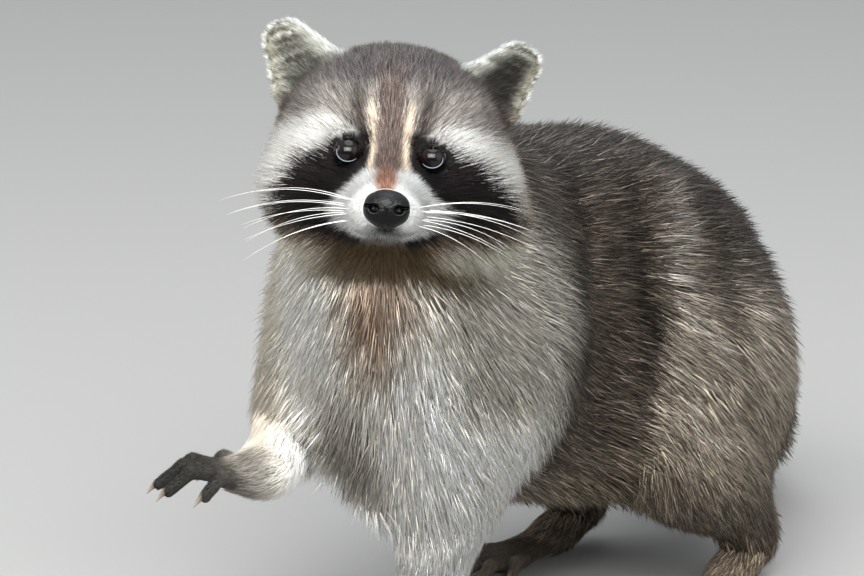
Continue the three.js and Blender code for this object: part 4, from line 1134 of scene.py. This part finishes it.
# colours: the markings show where a tuft's outer half lies, so they are taken there; the root is darker
jitter = rng.normal(0, 1, (N, 3)) * np.interp(loft, [2, 4, 12], [.25, .5, 3.6])[:, None]
seen = root * .40 + p1 * .25 + p2 * .35 + jitter
keep_ear = share["ear"] > .5
seen[keep_ear] = (root * .6 + p2 * .4 + jitter * .4)[keep_ear]
col, spread, pale, _ = markings(seen, share)
tone = rng.normal(0, 1, N)
lock_tone = rng.normal(0, 1, N)[to]
bright = np.exp(spread * (.45 * tone + .40 * lock_tone))
luma = col @ np.array([.25, .65, .10])
is_pale = (rng.random(N) < pale) & ~wool
strong = (spread * 1.5)[:, None]
tipc = np.where(is_pale[:, None], col * (1.15 + .9 * strong) + .015, col * (.80 - .55 * strong))
midc = np.where(is_pale[:, None], col * (1.00 + .55 * strong), col * (.84 - .50 * strong))
tipc = np.where(wool[:, None], col * (.86 - .40 * strong), tipc)
midc = np.where(wool[:, None], col * (.80 - .45 * strong), midc)
# on the chest the roots and the wool are painted lighter: painted light that lifts the shade within the coat
base = col * np.interp(luma, [.05, .5, .8], [.34, .55, .85])[:, None] * (1 + .30 * share["chest"])[:, None]
midc, tipc = [c * (1 + .16 * share["chest"] * wool)[:, None] for c in (midc, tipc)]
col0, col1, col2 = [np.clip(c * bright[:, None], .003, .93) for c in (base, midc, tipc)]
hue = rng.normal(0, .03, (N, 3)) * spread[:, None]
col1, col2 = np.clip(col1 * (1 + hue), 0, .93), np.clip(col2 * (1 + hue), 0, .93)


def tufts(name, idx, uv_root, mat):
    """Closed spindles with one bend: a point at the root, three corners at the bend, a point at the tip."""
    n = len(idx)
    a, b, c = p0[idx], p1[idx], p2[idx]
    sd, nm, w = side[idx], norm[idx], width[idx][:, None]
    bent = units(c - a)
    upn = np.cross(bent, sd)
    V = np.empty((n, 5, 3))
    V[:, 0], V[:, 4] = a, c
    V[:, 1] = b + sd * w * .5 - upn * w * .12
    V[:, 2] = b - sd * w * .5 - upn * w * .12
    V[:, 3] = b + upn * w * .24
    V = V.reshape(-1, 3)
    V[:, 2] = np.maximum(V[:, 2], floor_z)
    k = (np.arange(n) * 5)[:, None, None]
    T = (np.array([[0, 2, 1], [0, 3, 2], [0, 1, 3], [4, 1, 2], [4, 2, 3], [4, 3, 1]])[None] + k).reshape(-1, 3)
    C = np.empty((n, 5, 3))
    C[:, 0], C[:, 4] = col0[idx], col2[idx]
    C[:, 1:4] = col1[idx][:, None]
    s = .0015
    du = np.array([0, -s, s, 0, 0])
    dv = np.array([-s, 0, 0, .2 * s, s])
    uv = uv_root[:, None, :] + np.stack([du, dv], 1)[None]
    ob = mesh_of(name, V, T, C.reshape(-1, 3), uv.reshape(-1, 2))
    ob.data.materials.append(mat)
    return ob


def spikes(name, idx, uv_root, mat):
    """Closed three-sided spikes for the short coat: three corners sunk at the root, a point at the tip."""
    n = len(idx)
    a, b, c = p0[idx], p1[idx], p2[idx]
    sd, w = side[idx], width[idx][:, None]
    bent = units(c - a)
    upn = np.cross(bent, sd)
    foot_ = a * .65 + b * .35
    V = np.empty((n, 4, 3))
    V[:, 0] = foot_ + sd * w * .5 - upn * w * .15
    V[:, 1] = foot_ - sd * w * .5 - upn * w * .15
    V[:, 2] = foot_ + upn * w * .30
    V[:, 3] = c
    V = V.reshape(-1, 3)
    V[:, 2] = np.maximum(V[:, 2], floor_z)
    k = (np.arange(n) * 4)[:, None, None]
    T = (np.array([[0, 2, 1], [3, 0, 1], [3, 1, 2], [3, 2, 0]])[None] + k).reshape(-1, 3)
    C = np.empty((n, 4, 3))
    C[:, 3] = col2[idx]
    C[:, :3] = (col1[idx] * .8 + col0[idx] * .2)[:, None]
    s = .0015
    uv = uv_root[:, None, :] + np.array([[-s, -s], [s, -s], [0, 0], [0, s]])[None]
    ob = mesh_of(name, V, T, C.reshape(-1, 3), uv.reshape(-1, 2))
    ob.data.materials.append(mat)
    return ob


coat_mat = material("coat", painted(.60, .13))


def split(score, mask, limit=32000):
    """Cuts a region into pieces of fewer than limit tufts, along score."""
    idx = np.flatnonzero(mask)
    parts = int(math.ceil(len(idx) / limit))
    if parts <= 1:
        return [idx]
    idx = idx[np.argsort(score[idx], kind="stable")]
    return [np.sort(a) for a in np.array_split(idx, parts)]


names = list(share)
most = np.stack([share[k] for k in names], 1).argmax(1)
group = np.array(names)[most]
x, y, z = root.T
mid = np.interp(y, [-60, 60, 150], [4, -14, -8])
is_head = np.isin(group, ["head", "face", "ear"])
region = np.full(N, "", dtype="U16")
region[is_head] = "head"
region[(group == "ear")] = "ears"
region[is_head & (group != "ear") & (q[:, 1] < 22) & (q[:, 2] < 30)] = "face"
region[group == "neck"] = "neck"
region[group == "chest"] = "chest"
region[np.isin(group, ["trunk", "belly"])] = "trunk"
region[group == "thigh"] = "haunch"
region[group == "limb"] = "legs"
region[group == "paw"] = "paws"
region[group == "tail"] = "tail"

pieces = []
for r in sorted(set(region)):
    mask = region == r
    if r in ("face", "head"):
        c = q - (0, 34, -6)
        th, ph = np.arctan2(np.hypot(c[:, 0], c[:, 2]), -c[:, 1]), np.arctan2(c[:, 2], c[:, 0])
        U_, V_ = th * np.cos(ph), th * np.sin(ph)
        score = U_
    elif r == "ears":
        front = (np.where(q[:, 0] > 0, 1, -1))
        nn = np.where((q[:, 0] > 0)[:, None], EAR[1][2], EAR[-1][2])
        aa = np.where((q[:, 0] > 0)[:, None], EAR[1][0], EAR[-1][0])
        is_front = ((q - aa) * nn).sum(1) > -1.5
        U_ = (q - aa)[:, 0] + front * 40 + is_front * 200
        V_ = (q - aa)[:, 2]
        score = U_
    elif r == "tail":
        U_, V_ = tail_place(root)
        score = U_
    elif r in ("legs", "paws", "haunch"):
        leg = (x > 0) * 1 + (y > 40) * 2
        ang = np.arctan2(x - np.choose(leg, [-45, 30, -60, 62]), y - np.choose(leg, [-110, -84, 140, 145]))
        U_, V_ = ang + leg * 7.0, z
        score = leg * 1000 + z
    else:
        U_ = np.arctan2(x - mid, z - 170)
        V_ = y + .3 * z
        score = V_ if r == "chest" else U_
    short = r in ("face", "ears", "paws", "head")
    cut = split(score, mask, 48000 if short else 32000)
    for k, idx in enumerate(cut):
        uu, vv = fit(equal(U_[idx]), .006, .992), fit(equal(V_[idx]), .006, .992)
        name = f"coat_{r}" + (f"_{k + 1}" if len(cut) > 1 else "")
        pieces.append((spikes if short else tufts)(name, idx, np.stack([uu, vv], 1), coat_mat))
        print(f"  {name}: {len(idx)} tufts, {len(pieces[-1].data.polygons)} triangles")
tell(f"coat {sum(len(o.data.polygons) for o in pieces)} triangles")

# ------------------------------------------------------------------ eyes
def ball(name, s):
    rings, segs = 40, 56
    th = np.linspace(0, math.pi, rings + 1)[1:-1]
    ph = np.arange(segs) / segs * 2 * math.pi
    d = [[0, -1, 0]]
    for t in th:
        d += [[math.sin(t) * math.cos(p), -math.cos(t), math.sin(t) * math.sin(p)] for p in ph]
    d += [[0, 1, 0]]
    d = np.array(d)
    ang = np.arccos(np.clip(-d[:, 1], -1, 1))
    r = EYE_R + .30 * (1 - smooth(0, .95, ang))                 # the cornea stands a little proud
    gaze = euler(0, 0, 0)
    P = (d * r[:, None]) @ gaze.T
    T = []
    for p in range(segs):
        T.append([0, 1 + p, 1 + (p + 1) % segs])
    for k in range(len(th) - 1):
        a0, b0 = 1 + k * segs, 1 + (k + 1) * segs
        for p in range(segs):
            p2_ = (p + 1) % segs
            T += [[a0 + p, b0 + p, b0 + p2_], [a0 + p, b0 + p2_, a0 + p2_]]
    last, a0 = len(d) - 1, 1 + (len(th) - 1) * segs
    for p in range(segs):
        T.append([a0 + p, last, a0 + (p + 1) % segs])
    T = np.array(T)[:, ::-1]
    iris, pupil = smooth(.88, .80, ang), smooth(.42, .36, ang)
    ray = noise3(np.stack([np.arctan2(d[:, 2], d[:, 0]) * 9, ang * 3, 0 * ang], 1), 1, 61)
    c = np.tile(srgb(9, 7, 8), (len(d), 1))
    c = mix(c, srgb(17, 9, 7), iris)
    c = c * (1 + .25 * ray * iris)[:, None]
    c = mix(c, srgb(2, 2, 3), pupil)
    W = P @ HEAD[0].T + EYE[s]
    a = W[T[:, 1]] - W[T[:, 0]]
    if (np.cross(a, W[T[:, 2]] - W[T[:, 0]]) * (W[T].mean(1) - EYE[s])).sum() < 0:
        T = T[:, ::-1]
    return mesh_of(name, W, T, np.clip(c, 0, 1))


def eye_look(t, b):
    a = node(t, "ShaderNodeAttribute", attribute_name="Col")
    t.links.new(a.outputs["Color"], b.inputs["Base Color"])
    b.inputs["Roughness"].default_value = .04
    b.inputs["Specular IOR Level"].default_value = .31


eye_mat = material("eye", eye_look)
eyes = {}
for s, tag in ((1, "left"), (-1, "right")):
    o = ball(f"eye_ball_{tag}", s)
    o.data.materials.append(eye_mat)
    eyes[tag] = o

# ------------------------------------------------------------------ nose
def nose_field(P):
    q = within(HEAD, P) + (0, 0, 1.5)
    def e(c, r):
        d = (q - np.array(c)) / np.array(r)
        k0 = np.sqrt((d * d).sum(1))
        k1 = np.sqrt(((d / np.array(r)) ** 2).sum(1))
        return k0 * (k0 - 1) / np.maximum(k1, 1e-9)
    v = smin(e((1, -49.6, -27.2), (9.6, 8.2, 9.1)), e((1, -48.4, -22.4), (10.2, 7.8, 5.2)), 4)
    for s in (1, -1):
        v = smin(v, e((1 + s * 6.6, -50.6, -26.8), (4.9, 6.4, 6.0)), 2.2)                 # wings
        hole = e((1 + s * 6.3, -57.2, -26.4), (2.5, 3.4, 2.2))
        slit = e((1 + s * 9.8, -53.6, -25.2), (3.2, 3.0, .9))
        v = smax(v, -smin(hole, slit, 1.4), .8)
    groove = np.hypot(q[:, 0] - 1, np.maximum(0, q[:, 2] + 27))
    v = v + .75 * np.exp(-(groove / .7) ** 2) * (q[:, 1] < -50)
    return v


nl = place(HEAD, (1, -50, -26)) - 19
nh = nl + 38
NH = .55
nn_ = np.ceil((nh - nl) / NH).astype(int) + 1
G = np.stack(np.meshgrid(*[nl[i] + NH * np.arange(nn_[i]) for i in range(3)], indexing="ij"), -1)
NV = nose_field(G.reshape(-1, 3)).reshape(nn_)
nv, nt = nets(NV, nl, NH)
nv = settle(nv, nt, nose_field, rounds=3)
pebble = noise3(nv, .8, 71) * .10
nv = nv + units(gradient(nose_field, nv, .3)) * pebble[:, None]
qn = within(HEAD, nv) + (0, 0, 1.5)
ncol = np.tile(srgb(4, 4, 5), (len(nv), 1))
# the top of the pad is painted lighter and bluer: a painted reflection of the sky
ncol = mix(ncol, srgb(26, 28, 31), smooth(-25, -19, qn[:, 2]) * .5)
# the nostrils are painted darker still: painted shade inside them
hole = np.maximum(0, 1 - np.minimum.reduce([np.linalg.norm((qn - (1 + s * 6.4, -55.6, -26.4)) / (3.2, 4, 2.7), axis=1) for s in (1, -1)]))
ncol = mix(ncol, srgb(3, 3, 3), np.clip(hole * 2.4, 0, 1))
nose = mesh_of("nose", nv, nt, np.clip(ncol, 0, 1))


def nose_look(t, b):
    a = node(t, "ShaderNodeAttribute", attribute_name="Col")
    t.links.new(a.outputs["Color"], b.inputs["Base Color"])
    b.inputs["Roughness"].default_value = .30
    b.inputs["Specular IOR Level"].default_value = .19
    co = node(t, "ShaderNodeTexCoord")
    vz = node(t, "ShaderNodeTexVoronoi", Scale=1300.0)
    bp = node(t, "ShaderNodeBump", Strength=.45, Distance=.0003)
    t.links.new(co.outputs["Object"], vz.inputs["Vector"])
    t.links.new(vz.outputs["Distance"], bp.inputs["Height"])
    t.links.new(bp.outputs["Normal"], b.inputs["Normal"])


nose.data.materials.append(material("nose", nose_look))
tell("nose")


# ------------------------------------------------------------------ claws, whiskers, bristles and lid edges
def tubes(name, paths, radii, sides, colours, flat=1.0):
    """Closed tapering tubes. paths: list of (n, 3); radii: list of (n,); colours: list of (n, 3)."""
    Vs, Ts, Cs, base = [], [], [], 0
    for P, R_, C in zip(paths, radii, colours):
        n = len(P)
        tan = units(np.gradient(P, axis=0))
        up = np.array([0, 0, 1.0])
        if abs(tan[0] @ up) > .9:
            up = np.array([1.0, 0, 0])
        s = units(np.cross(tan, up))
        u_ = np.cross(s, tan)
        a = np.arange(sides) / sides * 2 * math.pi
        ringv = P[:, None] + R_[:, None, None] * (np.cos(a)[None, :, None] * s[:, None] * flat + np.sin(a)[None, :, None] * u_[:, None])
        Vs += [ringv.reshape(-1, 3), P[:1], P[-1:]]
        Cs += [np.repeat(C, sides, 0), C[:1], C[-1:]]
        k = np.arange(sides)
        k2 = (k + 1) % sides
        for i in range(n - 1):
            A, B_ = base + i * sides, base + (i + 1) * sides
            Ts += [np.stack([A + k, A + k2, B_ + k2], 1), np.stack([A + k, B_ + k2, B_ + k], 1)]
        c0, c1 = base + n * sides, base + n * sides + 1
        Ts += [np.stack([np.full(sides, c0), base + k2, base + k], 1), np.stack([np.full(sides, c1), base + (n - 1) * sides + k, base + (n - 1) * sides + k2], 1)]
        base += n * sides + 2
    return mesh_of(name, np.concatenate(Vs), np.concatenate(Ts), np.clip(np.concatenate(Cs), 0, 1))


paths, radii, cols = [], [], []
for a, b, up in CLAWS:
    t = np.linspace(0, 1, 9)[:, None]
    bow = np.sin(t * math.pi) * 1.0
    P = a - (b - a) * .12 + (b - a) * 1.12 * t + up * bow
    P[:, 2] = np.maximum(P[:, 2], .9)
    paths.append(P)
    radii.append(np.interp(t[:, 0], [0, .25, .7, 1], [2.1, 2.0, 1.15, .22]))
    cols.append(mix(np.tile(srgb(58, 50, 46), (9, 1)), srgb(150, 138, 122), t[:, 0] ** 1.5))
claws = tubes("claws", paths, radii, 10, cols, flat=.78)


def claw_look(t, b):
    painted(.34, .5, bump=(700, .15, .0003))(t, b)


claws.data.materials.append(material("claw", claw_look))

paths, radii, cols = [], [], []
wr = np.random.default_rng(5)
for s in (1, -1):
    for row, many in enumerate((2, 3, 3, 2)):
        for k in range(many):
            start = np.array([1.0 + s * (14 + 3.4 * k + wr.normal(0, .5)), -38 + 5.0 * k, -25.5 - 2.9 * row + .8 * k + wr.normal(0, .5)])
            size = (60 + 6 * k - 5 * row) * wr.uniform(.85, 1.15)
            d0 = unit((s * 1.0, .20 + .10 * k + wr.normal(0, .05), (.24, .10, -.02, -.16)[row] + wr.normal(0, .05)))
            t = np.linspace(0, 1, 15)[:, None]
            P = start + d0 * size * t + np.array([0, .18 * size, -.24 * size]) * t ** 2.2 * wr.uniform(.7, 1.3)
            paths.append(P @ HEAD[0].T + EYES)
            radii.append(np.interp(t[:, 0], [0, .5, 1], [.16, .12, .03]))
            cols.append(np.tile(srgb(236, 236, 232), (15, 1)))
    for k in range(3):                       # brow and cheek bristles
        start = np.array([s * (17 + 5 * k), -6.5 + .8 * k, 12.5 - 1.5 * k])
        d0 = unit((s * (.25 + .25 * k), -.35, .9 - .15 * k))
        t = np.linspace(0, 1, 10)[:, None]
        P = start + d0 * 24 * t + np.array([s * 6, 6, -2]) * t ** 2
        paths.append(P @ HEAD[0].T + EYES)
        radii.append(np.interp(t[:, 0], [0, 1], [.17, .04]))
        cols.append(np.tile(srgb(120, 112, 104), (10, 1)))
whiskers = tubes("whiskers", paths, radii, 5, cols)
whiskers.data.materials.append(material("whisker", painted(.35, .4)))
tell("claws and whiskers")

paths, radii, cols = [], [], []
# the lid edge is painted pale blue-grey: a painted reflection of the sky on its wet edge
for s in (1, -1):                                # the pale wet edge of the lower lid
    t = np.radians(np.linspace(12, -142, 30))
    mu, dv = 5.55 * np.cos(t), 4.85 * np.sin(t)
    dy = -np.sqrt(np.maximum((EYE_R + .42) ** 2 - mu * mu - dv * dv, 1))
    P = np.stack([s * (EYE_OUT + mu), EYE_BACK + dy, dv], 1)
    paths.append(P @ HEAD[0].T + EYES)
    radii.append(.30 * np.sin(np.linspace(.12, math.pi - .12, 30)) ** .6)
    cols.append(np.tile(srgb(104, 116, 126), (30, 1)))
rims = tubes("lid_edges", paths, radii, 8, cols)
rims.data.materials.append(material("lid_edge", painted(.35, .4)))

# ------------------------------------------------------------------ on the frame
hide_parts("head", "muzzle", "ear_left", "ear_right", "neck", "trunk", "foreleg_left", "forepaw_left", "foreleg_right", "forepaw_right",
            "hindleg_left", "hindfoot_left", "hindleg_right", "hindfoot_right", "tail_base", "tail_mid", "tail_tip")
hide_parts("nose_pad")
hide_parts("eye_left")
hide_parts("eye_right")
for o in [skin, nose, claws, whiskers, rims, *eyes.values(), *pieces]:
    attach(o, "root")

# ------------------------------------------------------------------ camera, floor and light
target = EYES + 21 * SIDE - 66.25 * RISE
cam_data = bpy.data.cameras.new("camera")
cam_data.sensor_width = 36.0
cam_data.sensor_fit = "HORIZONTAL"
cam_data.lens = 4400 / 864 * 36
cam_data.clip_start, cam_data.clip_end = .05, 60
cam = bpy.data.objects.new("camera", cam_data)
bpy.context.scene.collection.objects.link(cam)
rot = np.stack([SIDE, RISE, FORE], 1)
M = np.eye(4)
M[:3, :3] = rot
M[:3, 3] = to_row(target + 2200 * FORE)
cam.matrix_world = Matrix(M.tolist())
bpy.context.scene.camera = cam

size = 14.0
me = bpy.data.meshes.new("floor")
me.from_pydata([(-size, -size, -.0005), (size, -size, -.0005), (size, size, -.0005), (-size, size, -.0005)], [], [(0, 1, 2, 3)])
floor = bpy.data.objects.new("floor", me)
bpy.context.scene.collection.objects.link(floor)


def floor_look(t, b):
    b.inputs["Base Color"].default_value = (.30, .30, .295, 1)
    b.inputs["Roughness"].default_value = .85
    b.inputs["Specular IOR Level"].default_value = .1


floor.data.materials.append(material("floor", floor_look))

world = bpy.data.worlds.new("studio")
bpy.context.scene.world = world
world.use_nodes = True
bg = world.node_tree.nodes["Background"]
wt = world.node_tree
where = wt.nodes.new("ShaderNodeTexCoord")
parts = wt.nodes.new("ShaderNodeSeparateXYZ")
ramp = wt.nodes.new("ShaderNodeMapRange")
ramp.inputs["From Min"].default_value, ramp.inputs["From Max"].default_value = -.10, .85
ramp.inputs["To Min"].default_value, ramp.inputs["To Max"].default_value = .36, 1.05
blend = wt.nodes.new("ShaderNodeVectorMath")
blend.operation = "SCALE"
blend.inputs[0].default_value = (.94, .965, 1.0)
wt.links.new(where.outputs["Generated"], parts.inputs[0])
wt.links.new(parts.outputs["Z"], ramp.inputs["Value"])
wt.links.new(ramp.outputs["Result"], blend.inputs["Scale"])
wt.links.new(blend.outputs["Vector"], bg.inputs["Color"])
bg.inputs["Strength"].default_value = .85


def soft(name, where, at, size_, watts, colour=(1, 1, 1), tall=None):
    d = bpy.data.lights.new(name, "AREA")
    d.shape = "RECTANGLE" if tall else "DISK"
    d.size = size_
    if tall:
        d.size_y = tall
    d.energy = watts
    d.color = colour
    o = bpy.data.objects.new(name, d)
    bpy.context.scene.collection.objects.link(o)
    o.location = Vector(where)
    o.rotation_euler = (Vector(at) - Vector(where)).to_track_quat("-Z", "Y").to_euler()
    return o


heart = to_row(np.array([20.0, -60, 200]))
soft("key", heart + 2.35 * FORE - .15 * SIDE + 1.12 * RISE, heart, 3.1, 144, (1, .99, .965), 1.6)
soft("catch", heart + 2.33 * FORE - .15 * SIDE + 1.11 * RISE, heart, 1.2, 22, (1, .995, .98), .7)
soft("sky", heart + .5 * FORE + .2 * SIDE + 2.5 * RISE, heart, 2.4, 40, (.95, .98, 1))
soft("fill", heart + 1.6 * FORE + 2.6 * SIDE + .7 * RISE, heart, 3.0, 26, (.98, .985, 1))
soft("edge", heart - .2 * FORE - 2.5 * SIDE + .9 * RISE, heart, 1.6, 20, (1, .99, .96))
bpy.context.scene.view_settings.view_transform = "Standard"

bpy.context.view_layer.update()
tell("done")
